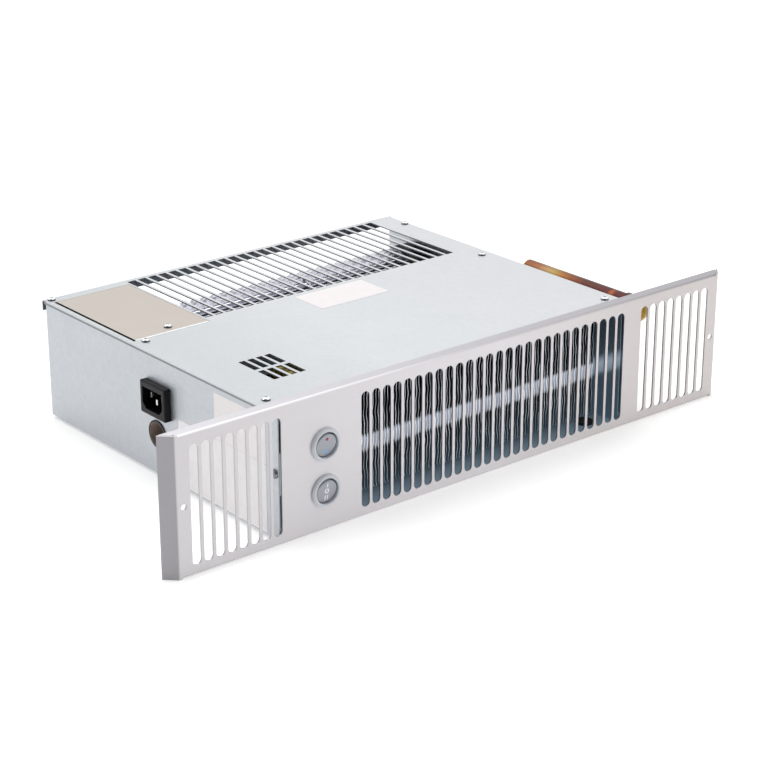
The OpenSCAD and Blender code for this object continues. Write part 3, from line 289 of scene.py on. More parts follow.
def brushed_stainless():
    """Belt-ground sheet with a sheen that spreads across the grinding."""
    material, tree, shader, place = new_finish("brushed_stainless_steel", Metallic=1.0, Anisotropic=0.85)
    lines = add(tree, "ShaderNodeMapping", {"Vector": place, "Scale": (
        cells_of(BRUSH_LENGTH_MM), cells_of(BRUSH_LINE_MM), cells_of(BRUSH_LINE_MM),
    )})
    brushing = add(tree, "ShaderNodeTexNoise", {
        "Vector": lines.outputs["Vector"], "Scale": 1.0, "Detail": 3.0,
    }).outputs["Fac"]
    normal = add(tree, "ShaderNodeTexCoord").outputs["Normal"]
    shine = add(tree, "ShaderNodeMapRange", {"Value": brushing, "To Min": 0.52, "To Max": 0.42})
    edge = add(tree, "ShaderNodeBevel", {"Radius": EDGE_MM * MM}, samples=4)
    relief = add(tree, "ShaderNodeBump", {
        "Height": brushing, "Strength": 0.1, "Distance": BRUSH_DEPTH_MM * MM,
        "Normal": edge.outputs["Normal"],
    })
    across = add(tree, "ShaderNodeVectorMath", {0: normal, 1: (1.0, 0.0, 0.0)}, operation="CROSS_PRODUCT")
    tangent = add(tree, "ShaderNodeVectorMath", {
        0: across.outputs["Vector"], 1: NEVER_ZERO,
    }, operation="ADD")
    fill(tree, shader, {
        "Base Color": plate_tones(tree, place, normal, brushing), "Roughness": shine.outputs["Result"],
        "Normal": relief.outputs["Normal"], "Tangent": tangent.outputs["Vector"],
    })
    return material


print("grinding lines to a mm of height:", round(1 / BRUSH_LINE_MM))

# %% [markdown]
# Painted shade and glow on the base. Faces that look up take a blue-grey tone, painted shade for the
# bluish shade inside the case. The light that rattles between the base and the plate is lost on a
# renderer that follows only a few bounces, so a faint glow stands in for it. It fades with the depth,
# which is counted from the face of the grille plate, as a maker would measure it.
# %% Painted shade and glow on the base
BASE_GLOW = 0.4
BASE_GLOW_NEAR_MM = 8.0
BASE_GLOW_FAR_MM = 27.0
FACE_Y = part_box("front_grille")[0].y


def paint_base_shade(tree, shader, place, tones, upward_shade):
    """Gives the faces that look up a tone of painted shade and a glow that fades with the depth."""
    depth = add(tree, "ShaderNodeSeparateXYZ", {"Vector": place}).outputs["Y"]
    glow = add(tree, "ShaderNodeMapRange", {
        "Value": depth, "From Min": FACE_Y + BASE_GLOW_NEAR_MM * MM, "From Max": FACE_Y + BASE_GLOW_FAR_MM * MM,
        "To Min": BASE_GLOW, "To Max": BASE_GLOW / 3,
    })
    fill(tree, shader, {
        "Emission Color": only_upward(tree, colour(BLACK), colour(upward_shade)),
        "Emission Strength": glow.outputs["Result"],
    })
    return only_upward(tree, tones, colour(upward_shade))


print("face of the grille plate at Y in mm:", round(FACE_Y / MM, 1))

# %% [markdown]
# Galvanised steel, for the case, the lid and the walls inside. The sheet is dipped in molten zinc, which
# freezes into flat crystals, the spangle. On modern sheet they are small and faint: cells of about 3 mm
# that differ a little in tone and gloss. A cell pattern gives each crystal its own shade, and soft
# patches of several centimetres lie over it, where hands and rollers left their traces. Three options,
# all painted light and shade, fit it to its place: stops paint shade that changes along X, a side tone
# paints shade on all that doesn't look up, such as the walls of the lid's slots, and an upward tone
# paints a bluish shade, with a glow, on the faces that look up.
# %% Galvanised steel
SPANGLE_MM = 3.0
SPANGLE_SHARE = 0.35
STAIN_MM = 45.0
STAIN_DEPTH_MM = 0.1
# The lid's painted shade along X: darker at its left end.
LID_SHADE_DRIFT = ((0.2, "#F3F4F4"), (0.42, WHITE), (1.0, "#FFFDFC"))


def galvanised(name, light, dark, rough=0.45, upward_shade=None, side=None, stops=None):
    """Hot-dipped zinc with a small spangle."""
    material, tree, shader, place = new_finish(name, Metallic=0.8)
    crystals = add(tree, "ShaderNodeTexVoronoi", {"Vector": place, "Scale": cells_of(SPANGLE_MM)})
    shade = add(tree, "ShaderNodeSeparateColor", {"Color": crystals.outputs["Color"]}).outputs
    stains = add(tree, "ShaderNodeTexNoise", {
        "Vector": place, "Scale": cells_of(STAIN_MM), "Detail": 3.0,
    }).outputs["Fac"]
    amount = add(tree, "ShaderNodeMix", {0: SPANGLE_SHARE, 2: stains, 3: shade["Red"]})
    tones = add(tree, "ShaderNodeMix", {
        0: amount.outputs[0], 6: colour(dark), 7: colour(light),
    }, data_type="RGBA").outputs[2]
    # Painted shade along X.
    if stops:
        tones = drift(tree, place, tones, stops)
    # Painted shade on all that doesn't look up.
    if side:
        tones = only_upward(tree, colour(side), tones)
    # Painted bluish shade and a glow on the faces that look up.
    if upward_shade:
        tones = paint_base_shade(tree, shader, place, tones, upward_shade)
    shine = add(tree, "ShaderNodeMapRange", {
        "Value": shade["Green"], "To Min": rough - 0.04, "To Max": rough + 0.04,
    })
    relief = add(tree, "ShaderNodeBump", {
        "Height": stains, "Strength": 0.06, "Distance": STAIN_DEPTH_MM * MM,
    })
    fill(tree, shader, {
        "Base Color": tones, "Roughness": shine.outputs["Result"], "Normal": relief.outputs["Normal"],
    })
    return material


# %% [markdown]
# Plain metals: zinc-plated screws, ground shafts, mill aluminium, brass castings and nickel-plated pins.
# They share one recipe and differ in colour, gloss and grain. A metal keeps the shader's usual index of
# refraction.
#
# Three options serve the details. A side tone paints shade on steep faces, such as a cut edge, a screw's
# flank or the edges of the cover. The floor of a screw's driver recess, told by its height, takes that
# painted shade too, so that it reads as a hollow. A zone along the depth takes a tone of its own: a
# painted highlight on the front edge of the tan cover, and on the end of the brass elbow the brown that
# the flame which soldered it left.
# %% Plain metals
RECESS_MM = 94.7
# A painted highlight on the cover's front edge.
COVER_EDGE_HIGHLIGHT = (170.0, 175.8, "#F4F6F8")
BROWNED_END = (45.0, 60.0, "#4E332C")


def plain_metal(name, light, dark, rough, patch_mm=6.0, grain_mm=0.5, bump=0.1, side=None, recess_mm=None,
                zone=None):
    """A bare or plated metal. The zone's ends are in mm behind the plate's face."""
    material, tree, shader, place = new_finish(name, Metallic=1.0)
    tones = mottle(tree, shader, place, light, dark, patch_mm, grain_mm, rough, bump=bump)
    at = add(tree, "ShaderNodeSeparateXYZ", {"Vector": place}).outputs
    # Painted shade on the faces that don't look up.
    if side:
        tones = only_upward(tree, colour(side), tones)
    # Painted shade on the recess floor, below a height.
    if recess_mm:
        low = add(tree, "ShaderNodeMath", {0: at["Z"], 1: recess_mm * MM}, operation="LESS_THAN")
        tones = add(tree, "ShaderNodeMix", {
            0: low.outputs["Value"], 6: tones, 7: colour(side),
        }, data_type="RGBA").outputs[2]
    # A band along the depth, used for the cover's painted highlight and for the elbow's heat stain.
    if zone:
        start_mm, end_mm, zone_tone = zone
        inside = add(tree, "ShaderNodeMath", {
            0: at["Y"], 1: FACE_Y + (start_mm + end_mm) / 2 * MM, 2: (end_mm - start_mm) / 2 * MM,
        }, operation="COMPARE")
        tones = add(tree, "ShaderNodeMix", {
            0: inside.outputs["Value"], 6: tones, 7: colour(zone_tone),
        }, data_type="RGBA").outputs[2]
    fill(tree, shader, {"Base Color": tones})
    return material


# %% [markdown]
# Fin foil. Between two fins the light bounces a dozen times before it comes out again, so the gaps go
# nearly black and only the cut edges in front shine. One band stays bright: there the gaps mirror the lit
# strip of floor behind the coil. A renderer follows only a few bounces and would lose that light, so a
# faint glow brings it back. Tone and glow follow the height, and both are painted light and shade:
# painted shade, black at the top, a painted reflection, light from 32 to 46 mm, and slate blue at the
# foot. The edges are told by their normals, which point to the front. They are painted white as a painted
# highlight, their glow is stronger and white in the band, and upright streaks of noise break the
# highlight into pieces.
# %% Fin foil
PAINTED_FIN_TONES = (
    (0.00, "#4A565F"), (0.13, "#39434B"), (0.30, "#23292F"), (0.345, "#2C3138"), (0.375, "#8A8D97"),
    (0.465, "#959AA3"), (0.49, "#1A1E22"), (0.75, "#0E1012"), (1.00, "#0B0C0E"),
)
DEPTH_GLOW = (
    (0.00, "#27323A"), (0.12, "#1D262C"), (0.24, "#13181C"), (0.345, "#0C0F12"), (0.375, "#787C85"),
    (0.465, "#868B94"), (0.49, "#0A0B0D"), (0.75, BLACK), (1.00, BLACK),
)
EDGE_GLOW = (
    (0.00, "#66727E"), (0.15, "#8793A0"), (0.345, "#A4AEBC"), (0.375, WHITE), (0.465, WHITE),
    (0.49, "#A4AEBC"), (1.00, "#8E96A2"),
)
RAMP_FOOT_MM = 1.5
RAMP_HEIGHT_MM = 93.7
RAGGED_MM = 2.6
RAGGED_REACH_MM = 3.0
EDGE_BREAK_MM = (4.0, 20.0, 18.0)
FRONT_Y = -0.5


def by_height(tree, place, stops, slant=0.0):
    """A slightly ragged ramp of tones from the base to the top of the lid, which may slant with the depth."""
    at = add(tree, "ShaderNodeSeparateXYZ", {"Vector": place}).outputs
    height = add(tree, "ShaderNodeMath", {0: at["Y"], 1: slant, 2: at["Z"]}, operation="MULTIPLY_ADD")
    ragged = add(tree, "ShaderNodeTexNoise", {"Vector": place, "Scale": cells_of(RAGGED_MM), "Detail": 1.0})
    shifted = add(tree, "ShaderNodeMath", {
        0: ragged.outputs["Fac"], 1: RAGGED_REACH_MM * MM, 2: height.outputs["Value"],
    }, operation="MULTIPLY_ADD")
    foot = RAMP_FOOT_MM * MM + slant * FACE_Y
    share = add(tree, "ShaderNodeMapRange", {
        "Value": shifted.outputs["Value"], "From Min": foot, "From Max": foot + RAMP_HEIGHT_MM * MM,
    })
    return add(tree, "ShaderNodeValToRGB", {"Fac": share.outputs["Result"]}, stops).outputs["Color"]


def fin_foil():
    """Aluminium foil, with a painted highlight on its front edges and painted shade between two fins."""
    material, tree, shader, place = new_finish("fin_foil", Metallic=0.4, Emission_Strength=1.0)
    normal = add(tree, "ShaderNodeTexCoord").outputs["Normal"]
    forward = add(tree, "ShaderNodeSeparateXYZ", {"Vector": normal}).outputs["Y"]
    edge = add(tree, "ShaderNodeMath", {0: forward, 1: FRONT_Y}, operation="LESS_THAN")
    streaks = add(tree, "ShaderNodeMapping", {
        "Vector": place, "Scale": tuple(cells_of(size) for size in EDGE_BREAK_MM),
    })
    edge_breaks = add(tree, "ShaderNodeTexNoise", {
        "Vector": streaks.outputs["Vector"], "Scale": 1.0, "Detail": 1.0,
    }).outputs["Fac"]
    whole = add(tree, "ShaderNodeMapRange", {"Value": edge_breaks, "From Min": 0.22, "From Max": 0.6})
    bare = add(tree, "ShaderNodeMath", {
        0: edge.outputs["Value"], 1: whole.outputs["Result"],
    }, operation="MULTIPLY").outputs["Value"]
    # Painted highlight on the front edges, painted light and shade by height on the rest.
    tones = add(tree, "ShaderNodeMix", {
        0: bare, 6: by_height(tree, place, PAINTED_FIN_TONES), 7: colour(WHITE),
    }, data_type="RGBA")
    glow = add(tree, "ShaderNodeMix", {
        0: bare, 6: by_height(tree, place, DEPTH_GLOW), 7: by_height(tree, place, EDGE_GLOW),
    }, data_type="RGBA")
    shine = add(tree, "ShaderNodeMapRange", {"Value": edge_breaks, "To Min": 0.55, "To Max": 0.3})
    fill(tree, shader, {
        "Base Color": tones.outputs[2], "Emission Color": glow.outputs[2],
        "Roughness": shine.outputs["Result"],
    })
    return material


# %% [markdown]
# The sheets at the coil's right end are flat, so the same light is painted on them as a glow, one soft
# band between two blues, over a dark blue-grey that is painted shade. The band slants down towards the
# back, so the height that the ramp reads grows with the depth.
# %% End sheet of the duct
SHEET_GLOW = (
    (0.00, "#36485A"), (0.25, "#2F3F4A"), (0.50, "#293640"), (0.54, "#6F7D89"), (0.60, "#84929D"),
    (0.64, "#6C7A86"), (0.68, "#25313A"), (0.85, "#1C262E"), (1.00, "#151C22"),
)
BAND_SLANT = 0.5


def duct_sheet():
    """Zinc-coated sheet in painted shade, with the band of light painted on as a glow."""
    material, tree, shader, place = new_finish("duct_end_sheet", Metallic=0.8, Emission_Strength=0.85)
    stains = add(tree, "ShaderNodeTexNoise", {
        "Vector": place, "Scale": cells_of(STAIN_MM), "Detail": 3.0,
    }).outputs["Fac"]
    # Painted shade: a dark blue-grey for the shaded sheet.
    tones = add(tree, "ShaderNodeMix", {
        0: stains, 6: colour("#5A6874"), 7: colour("#6C7A86"),
    }, data_type="RGBA")
    shine = add(tree, "ShaderNodeMapRange", {"Value": stains, "To Min": 0.42, "To Max": 0.34})
    relief = add(tree, "ShaderNodeBump", {
        "Height": stains, "Strength": 0.05, "Distance": STAIN_DEPTH_MM * MM,
    })
    fill(tree, shader, {
        "Base Color": tones.outputs[2], "Emission Color": by_height(tree, place, SHEET_GLOW, BAND_SLANT),
        "Roughness": shine.outputs["Result"], "Normal": relief.outputs["Normal"],
    })
    return material


# %% [markdown]
# Tarnished copper, for the water pipe that stands out behind the plate. Where the brass elbow was
# soldered on, the flame has stained the pipe: dark purple near the joint, then brown, a pale greenish
# gold farther off, and plain orange-brown at the open end. A colour ramp along Y follows those zones from
# the pipe's front to its end, and noise lets their borders wander.
# %% Tarnished copper pipe
HEAT_TINTS = (
    (0.00, "#6A3E38"), (0.14, "#5A3434"), (0.18, "#583434"), (0.21, "#9C5A3A"), (0.24, "#5A3634"),
    (0.48, "#5C3A34"), (0.60, "#7E4F38"), (0.70, "#9C6C3E"), (0.76, "#A08C50"), (0.82, "#A88A60"),
    (0.90, "#98684A"), (1.00, "#8A5A40"),
)
TINT_WANDER = 0.10
TINT_PATCH_MM = 14.0
SCUFF_MM = 2.0


def tarnished_copper(name, start_y, end_y):
    """Drawn copper pipe with heat tints between two places along Y."""
    material, tree, shader, place = new_finish(name, Metallic=1.0)
    along = add(tree, "ShaderNodeSeparateXYZ", {"Vector": place}).outputs["Y"]
    reach = add(tree, "ShaderNodeMapRange", {"Value": along, "From Min": start_y, "From Max": end_y})
    wander = add(tree, "ShaderNodeTexNoise", {
        "Vector": place, "Scale": cells_of(TINT_PATCH_MM), "Detail": 4.0,
    })
    shifted = add(tree, "ShaderNodeMath", {
        0: wander.outputs["Fac"], 1: TINT_WANDER, 2: reach.outputs["Result"],
    }, operation="MULTIPLY_ADD")
    tints = add(tree, "ShaderNodeValToRGB", {"Fac": shifted.outputs["Value"]}, HEAT_TINTS)
    scuffs = add(tree, "ShaderNodeTexNoise", {"Vector": place, "Scale": cells_of(SCUFF_MM), "Detail": 5.0})
    shine = add(tree, "ShaderNodeMapRange", {"Value": scuffs.outputs["Fac"], "To Min": 0.28, "To Max": 0.52})
    fill(tree, shader, {"Base Color": tints.outputs["Color"], "Roughness": shine.outputs["Result"]})
    return material


# %% [markdown]
# Moulded plastics, rubber, paint and paper. None of them is a metal. A moulded part has a fine grain from
# the tool that shaped it, and its gloss says what it is: satin for a switch, deeper for the inlet, dull
# for rubber. The index of refraction is 1.46 to 1.55 for all of these. The sheen is the level of the
# mirror light: 0.5 is the usual one, and a finely grained black part has less.
# %% Plastics, rubber, paint and paper
def moulded(name, light, dark, rough, spread=0.04, ior=1.5, grain_mm=0.4, bump=0.15, patch_mm=12.0,
            sheen=0.5):
    """A non-metal of two near tones with a fine grain."""
    material, tree, shader, place = new_finish(name, IOR=ior, Specular_IOR_Level=sheen)
    mottle(tree, shader, place, light, dark, patch_mm, grain_mm, rough, spread, bump)
    return material


# %% [markdown]
# The cable hole's liner is a short tube of brown paper board. Its collar, the part outside the hole, is
# dipped in black varnish, so the finish turns black beyond the hole's radius round the tube's own axis.
# That radius is measured on the piece itself, whose collar is 1.5 mm wide.
# %% Rimmed paper tube
COLLAR_MM = 1.5


def rimmed_paper(name):
    """Brown paper board with a black rim."""
    material, tree, shader, place = new_finish(name)
    tones = mottle(tree, shader, place, "#A8968A", "#7E6E64", 5.0, 0.4, 0.6, bump=0.15)
    low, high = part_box("cable_liner")
    middle = (low + high) / 2
    hole_radius = (high.z - low.z) / 2 - COLLAR_MM * MM
    offset = add(tree, "ShaderNodeVectorMath", {
        0: place, 1: (0.0, middle.y, middle.z),
    }, operation="SUBTRACT")
    across = add(tree, "ShaderNodeVectorMath", {
        0: offset.outputs["Vector"], 1: (0.0, 1.0, 1.0),
    }, operation="MULTIPLY")
    radius = add(tree, "ShaderNodeVectorMath", {0: across.outputs["Vector"]}, operation="LENGTH")
    collar = add(tree, "ShaderNodeMath", {
        0: radius.outputs["Value"], 1: hole_radius,
    }, operation="GREATER_THAN")
    rim = add(tree, "ShaderNodeMix", {
        0: collar.outputs["Value"], 6: tones, 7: colour("#101012"),
    }, data_type="RGBA")
    fill(tree, shader, {"Base Color": rim.outputs[2]})
    return material


# %% [markdown]
# Windings. A transformer's coil is wound in layers of enamelled wire under an amber tape, and from
# outside one sees the ridges of the turns. Real turns lie about a millimetre apart, too fine to show from
# here, so they are drawn as ridges 5.7 mm apart that run round the coil. At a scale of 1, a wave texture
# runs through 20 radians in a metre, so its scale has a helper of its own.
# %% Winding under tape
RIDGE_MM = 5.66
RIDGE_DEPTH_MM = 0.1
WAVE_RADIANS = 20


def waves_of(step_mm):
    """The scale at which a wave texture's bands are so many millimetres apart."""
    return 2 * math.pi / WAVE_RADIANS * cells_of(step_mm)


def wound_wire(name, light, dark):
    """Layers of enamelled wire, seen as ridges."""
    material, tree, shader, place = new_finish(name, Metallic=0.6, IOR=1.5, Roughness=0.32)
    turns = add(tree, "ShaderNodeTexWave", {
        "Vector": place, "Scale": waves_of(RIDGE_MM), "Distortion": 1.5, "Detail": 2.0, "Detail Scale": 2.0,
    }, bands_direction="Y").outputs["Fac"]
    tones = add(tree, "ShaderNodeMix", {
        0: turns, 6: colour(dark), 7: colour(light),
    }, data_type="RGBA")
    relief = add(tree, "ShaderNodeBump", {
        "Height": turns, "Strength": 0.5, "Distance": RIDGE_DEPTH_MM * MM,
    })
    fill(tree, shader, {"Base Color": tones.outputs[2], "Normal": relief.outputs["Normal"]})
    return material


# %% [markdown]
# Laminations. A transformer's core is a stack of thin steel sheets, dark with oxide, and its sides show
# their edges as fine lines. At half a millimetre they are too fine to show, so a wave along the stack's
# direction draws them as bands 4.4 mm high.
# %% Laminated core
STACK_BAND_MM = 4.4
STACK_DEPTH_MM = 0.05


def laminated(name, direction):
    """Oxidised steel sheets, stacked along X, Y or Z."""
    material, tree, shader, place = new_finish(name, Metallic=0.8)
    edges = add(tree, "ShaderNodeTexWave", {
        "Vector": place, "Scale": waves_of(STACK_BAND_MM), "Distortion": 0.6,
    }, bands_direction=direction).outputs["Fac"]
    tones = add(tree, "ShaderNodeMix", {
        0: edges, 6: colour("#2A2B2D"), 7: colour("#55585B"),
    }, data_type="RGBA")
    shine = add(tree, "ShaderNodeMapRange", {"Value": edges, "To Min": 0.6, "To Max": 0.4})
    relief = add(tree, "ShaderNodeBump", {
        "Height": edges, "Strength": 0.4, "Distance": STACK_DEPTH_MM * MM,
    })
    fill(tree, shader, {
        "Base Color": tones.outputs[2], "Roughness": shine.outputs["Result"],
        "Normal": relief.outputs["Normal"],
    })
    return material


# %% [markdown]
# Now each CAD node gets its finish, from a table that pairs a finish with the nodes that are made of it.
# A node keeps its mesh: only the material in its slot changes.
#
# Sheet metal comes first. The plate is ground stainless steel. The case is galvanised, with painted bluish
# shade and a glow on its base. Sheets inside it are painted a darker grey for the shade they stand in, and
# those of the air duct are painted darker and bluer still, for the dark hollow that they mirror, and are
# glossier. The lid is painted the palest zinc, as light for its top, which faces the lamps, and its slots'
# walls and flanks take painted shade. The access cover is passivated to a pale tan, with painted shade on
# its edges and a painted highlight on its front edge.
# %% Dress the sheet metal
undressed = set(frame["nodes"])


def dress(finishes):
    """Gives the nodes in a table of finish and node names their materials."""
    for material, nodes in finishes.items():
        for node in nodes:
            mesh = frame["nodes"][node].data
            mesh.materials.clear()
            mesh.materials.append(material)
        undressed.difference_update(nodes)
        print(material.name, "on", ", ".join(nodes))


dress({
    brushed_stainless(): ["front_grille"],
    galvanised("galvanised_case", "#BFC3C8", "#B4B8BD", upward_shade="#7E93A2"): [
        "casing", "side_panel", "grille_bracket_left", "grille_bracket_right",
    ],
    galvanised("galvanised_inside", "#7C8288", "#686E74"): ["lid_rail", "partition", "transformer_bracket"],
    galvanised("galvanised_lid", "#D5D8DB", "#CDD0D3", 0.5, side="#84888C", stops=LID_SHADE_DRIFT): ["lid"],
    galvanised("galvanised_duct", "#6E7780", "#59626B", 0.35): [
        "fan_end_plate", "fan_scroll", "fan_tongue", "coil_end_plate_left",
    ],
    duct_sheet(): ["duct_wall", "coil_end_plate_right"],
    plain_metal(
        "passivated_cover", "#CAC3BC", "#C2BAB1", 0.45, patch_mm=40.0, side="#34322F", zone=COVER_EDGE_HIGHLIGHT,
    ): ["access_cover"],
})

# %% [markdown]
# Screws, shafts and the coil. The lid's screws are bright zinc, with painted shade on their flanks and in
# their recesses, and those in the side wall are a darker grey. Shafts are ground, so they shine evenly.
# The impeller is rolled from bare aluminium strip, nearly as pale as the lid's screws. The coil's tubes
# are clean copper, while the pipe that stands outside is tarnished. The brass elbows are cast, with a
# coarse skin, and the bearings are pressed from bronze powder, which leaves pores that soak up oil.
# Contacts are tinned brass, a pale yellow, and nickel makes the inlet's pins gleam.
# %% Dress the screws, shafts and coil
tail_low, tail_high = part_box("flow_tail")
dress({
    plain_metal("zinc_plated", "#D5D8DA", "#B4B8BC", 0.3): ["coil_screws", "thermostat_clip"],
    plain_metal("screw_heads", WHITE, "#E4E6E8", 0.18, side="#55595F", recess_mm=RECESS_MM): [
        "lid_screws", "cover_screw",
    ],
    plain_metal("side_screw_heads", "#8C9096", "#6C7076", 0.25): ["bracket_screws"],
    plain_metal("ground_steel", "#B0B4B8", "#9499A0", 0.25): ["stub_shaft", "motor_shaft", "motor_rotor"],
    fin_foil(): ["fin_pack"],
    plain_metal("impeller_aluminium", "#EDEDF5", "#DCDCE6", 0.22): ["impeller"],
    plain_metal("coil_copper", "#C07A58", "#9A5A40", 0.35): [
        "coil_hairpins", "return_bends", "flow_stub", "return_stub",
    ],
    tarnished_copper("tarnished_flow_tail", tail_low.y, tail_high.y): ["flow_tail", "return_tail"],
    plain_metal("cast_brass", "#C29E45", "#8A6A28", 0.35, patch_mm=3.0, bump=0.3, zone=BROWNED_END): [
        "flow_elbow", "return_elbow",
    ],
    plain_metal("sintered_bronze", "#B09060", "#8A6D42", 0.5, grain_mm=0.3, bump=0.3): [
        "bearing_bush", "motor_bushes",
    ],
    plain_metal("tinned_brass", "#D8C27A", "#BDA35C", 0.3): ["switch_terminals", "terminal_screws"],
    plain_metal("nickel_plated", "#DEDCD6", "#C2C0BA", 0.18): ["inlet_pins"],
})

# %% [markdown]
# Plastics, rubber and the electrical parts. Feet, grommets and mounts are dull black rubber. The inlet
# is finely grained black nylon, which hardly mirrors. The switches are satin grey plastic, with a rocker
# that is darker than its bezel. The motor's can is stoved black enamel, with rough steel sheets inside,
# and the terminal block is ivory nylon. The transformer's tape is amber and the motor's wire copper red.
# %% Dress the plastics and electrical parts
dress({
    moulded("black_rubber", "#2A2A2C", "#1A1A1C", 0.75, ior=1.52, bump=0.3): [
        "feet", "base_grommet", "pipe_grommets", "bearing_grommet", "motor_mounts",
    ],
    moulded("black_nylon", "#121116", "#0A090C", 0.4, sheen=0.2): ["inlet_body", "low_limit_thermostat"],
    rimmed_paper("paper_tube"): ["cable_liner"],
    moulded("switch_bezel_plastic", "#D2D5DB", "#C7CAD1", 0.32, ior=1.53): [
        "heat_switch_body", "fan_switch_body",
    ],
    moulded("rocker_plastic", "#A8ACB4", "#9DA1A9", 0.32, ior=1.53): ["heat_rocker", "fan_rocker"],
    moulded("motor_enamel", "#222226", "#141417", 0.4): ["motor_can", "motor_cap"],
    laminated("laminations_upright", "Z"): ["transformer_core"],
    laminated("laminations_endwise", "X"): ["motor_stator"],
    wound_wire("taped_winding", "#B5A033", "#5C4E12"): ["transformer_coil"],
    wound_wire("enamelled_copper", "#C87848", "#8A4828"): ["motor_windings"],
    moulded("terminal_nylon", "#E6E1D6", "#D5CFC2", 0.5, ior=1.53): ["terminal_block"],
})
print("nodes without a finish:", sorted(undressed))

# %% [markdown]
# New pieces are made as a bmesh and then handed over by one function. It turns the bmesh into an object
# that sits at the origin, with its place in its mesh, gives it a material, and lets it ride on the body
# that carries it.
# %% Hand over a piece
CASE_BODY = next(j["parent"] for j in frame["joints"])


def finish_piece(name, shape, material, body):
    """Makes an object of a bmesh, which rides on a body."""
    mesh = bpy.data.meshes.new(name)
    shape.to_mesh(mesh)
    shape.free()
    mesh.materials.append(material)
    piece = bpy.data.objects.new(name, mesh)
    bpy.context.scene.collection.objects.link(piece)
    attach(piece, body)
    return piece


print("the case's body:", CASE_BODY)

# %% [markdown]
# The coil's fins, first step. They are aluminium foil pressed with shallow waves that stir the air, and
# from the front their edges snake down behind the slots. The CAD fins are flat, with exact holes for the
# tubes. So the first one is copied and merged, the triangles in each flat face are joined, and
# bisect_plane cuts it across into strips, because a face can't bend but a row of them can.
# %% Cut one fin into strips
FIN_PITCH_MM = 2.6
STRIP_MM = 2.2
MERGE_MM = 0.002
FLAT_ANGLE = math.radians(1)


def join_flat_faces(shape):
    """Merges a copied CAD mesh and joins the triangles that lie in one plane."""
    bmesh.ops.remove_doubles(shape, verts=shape.verts, dist=MERGE_MM * MM)
    bmesh.ops.dissolve_limit(shape, angle_limit=FLAT_ANGLE, verts=shape.verts, edges=shape.edges)


def first_fin(low, high):
    """A copy of the CAD fin pack's first fin, merged and cut into strips."""
    fin = bmesh.new()
    fin.from_mesh(frame["nodes"]["fin_pack"].data)
    others = [v for v in fin.verts if v.co.x > low.x + FIN_PITCH_MM * MM / 2]
    bmesh.ops.delete(fin, geom=others, context="VERTS")
    join_flat_faces(fin)
    height = low.z + STRIP_MM * MM
    while height < high.z:
        everything = fin.verts[:] + fin.edges[:] + fin.faces[:]
        bmesh.ops.bisect_plane(fin, geom=everything, plane_co=(0, 0, height), plane_no=(0, 0, 1))
        height += STRIP_MM * MM
    return fin


pack_low, pack_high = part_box("fin_pack")
fins = first_fin(pack_low, pack_high)
print("faces of one fin:", len(fins.faces))

# %% [markdown]
# The coil's fins, second step. The cut fin is duplicated for all the others, and each one is pushed
# sideways along a wave and a second, slower one. Neighbours were pressed alike, so the waves drift only a
# little from fin to fin. The first fin is pushed last, because the copies need it flat. One piece then
# replaces the flat fins of the frame.
# %% Ripple all the fins
RIPPLE_MM = 13.0
RIPPLE_REACH_MM = 0.28
WANDER_MM = 37.0
WANDER_REACH_MM = 0.4
PHASE_STEP = 0.14
PHASE_SCATTER = 0.12


def ripple(height, phase):
    """How far a fin is pushed sideways at a height."""
    short = RIPPLE_REACH_MM * math.sin(2 * math.pi * height / (RIPPLE_MM * MM) + phase / 3)
    slow = WANDER_REACH_MM * math.sin(2 * math.pi * height / (WANDER_MM * MM) + phase)
    return (short + slow) * MM


fin_count = round((pack_high.x - pack_low.x) / (FIN_PITCH_MM * MM)) + 1
template = fins.verts[:] + fins.edges[:] + fins.faces[:]
flat_places = {v: v.co.copy() for v in fins.verts}
chance = random.Random(7)
for number in [*range(1, fin_count), 0]:
    places = flat_places
    if number:
        copied = bmesh.ops.duplicate(fins, geom=template)["geom"]
        places = {v: v.co.copy() for v in copied if isinstance(v, bmesh.types.BMVert)}
    phase = (number or fin_count) * PHASE_STEP + chance.uniform(-PHASE_SCATTER, PHASE_SCATTER)
    for vertex, at in places.items():
        vertex.co.x = at.x + number * FIN_PITCH_MM * MM + ripple(at.z, phase)
rippled = finish_piece(
    "rippled_fins", fins, bpy.data.materials["fin_foil"], CASE_BODY,
)
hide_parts("fin_pack")
rippled.data.calc_loop_triangles()
print("fins:", fin_count, "triangles:", len(rippled.data.loop_triangles))

# %% [markdown]
# The inlet's frame. A moulded part never has a sharp edge: the tool's corners are rounded so that the
# plastic flows and the part comes off. The CAD inlet is exact inside, where a plug must fit, but square
# outside. A merged copy of it has its flat faces joined, and the edges round its front and its four
# corners are bevelled. They are found by their place: on the flange's outline, with a vertex in front.
# %% Rounded inlet body
INLET_ROUND_MM = 1.1
FLANGE_REACH_MM = 6.6
NEAR_MM = 0.05
SHARP_ANGLE = 1.0


def outer_edges(shape, low, high):
    """The sharp edges round the front and along the corners of the inlet's flange."""
    def on_outline(vertex):
        at = vertex.co
        sides = [abs(at.y - low.y), abs(at.y - high.y), abs(at.z - low.z), abs(at.z - high.z)]
        return at.x < low.x + FLANGE_REACH_MM * MM and min(sides) < NEAR_MM * MM

    def in_front(vertex):
        return abs(vertex.co.x - low.x) < NEAR_MM * MM

    return [
        edge for edge in shape.edges
        if all(on_outline(v) for v in edge.verts) and any(in_front(v) for v in edge.verts)
        and edge.is_manifold and edge.calc_face_angle() > SHARP_ANGLE
    ]


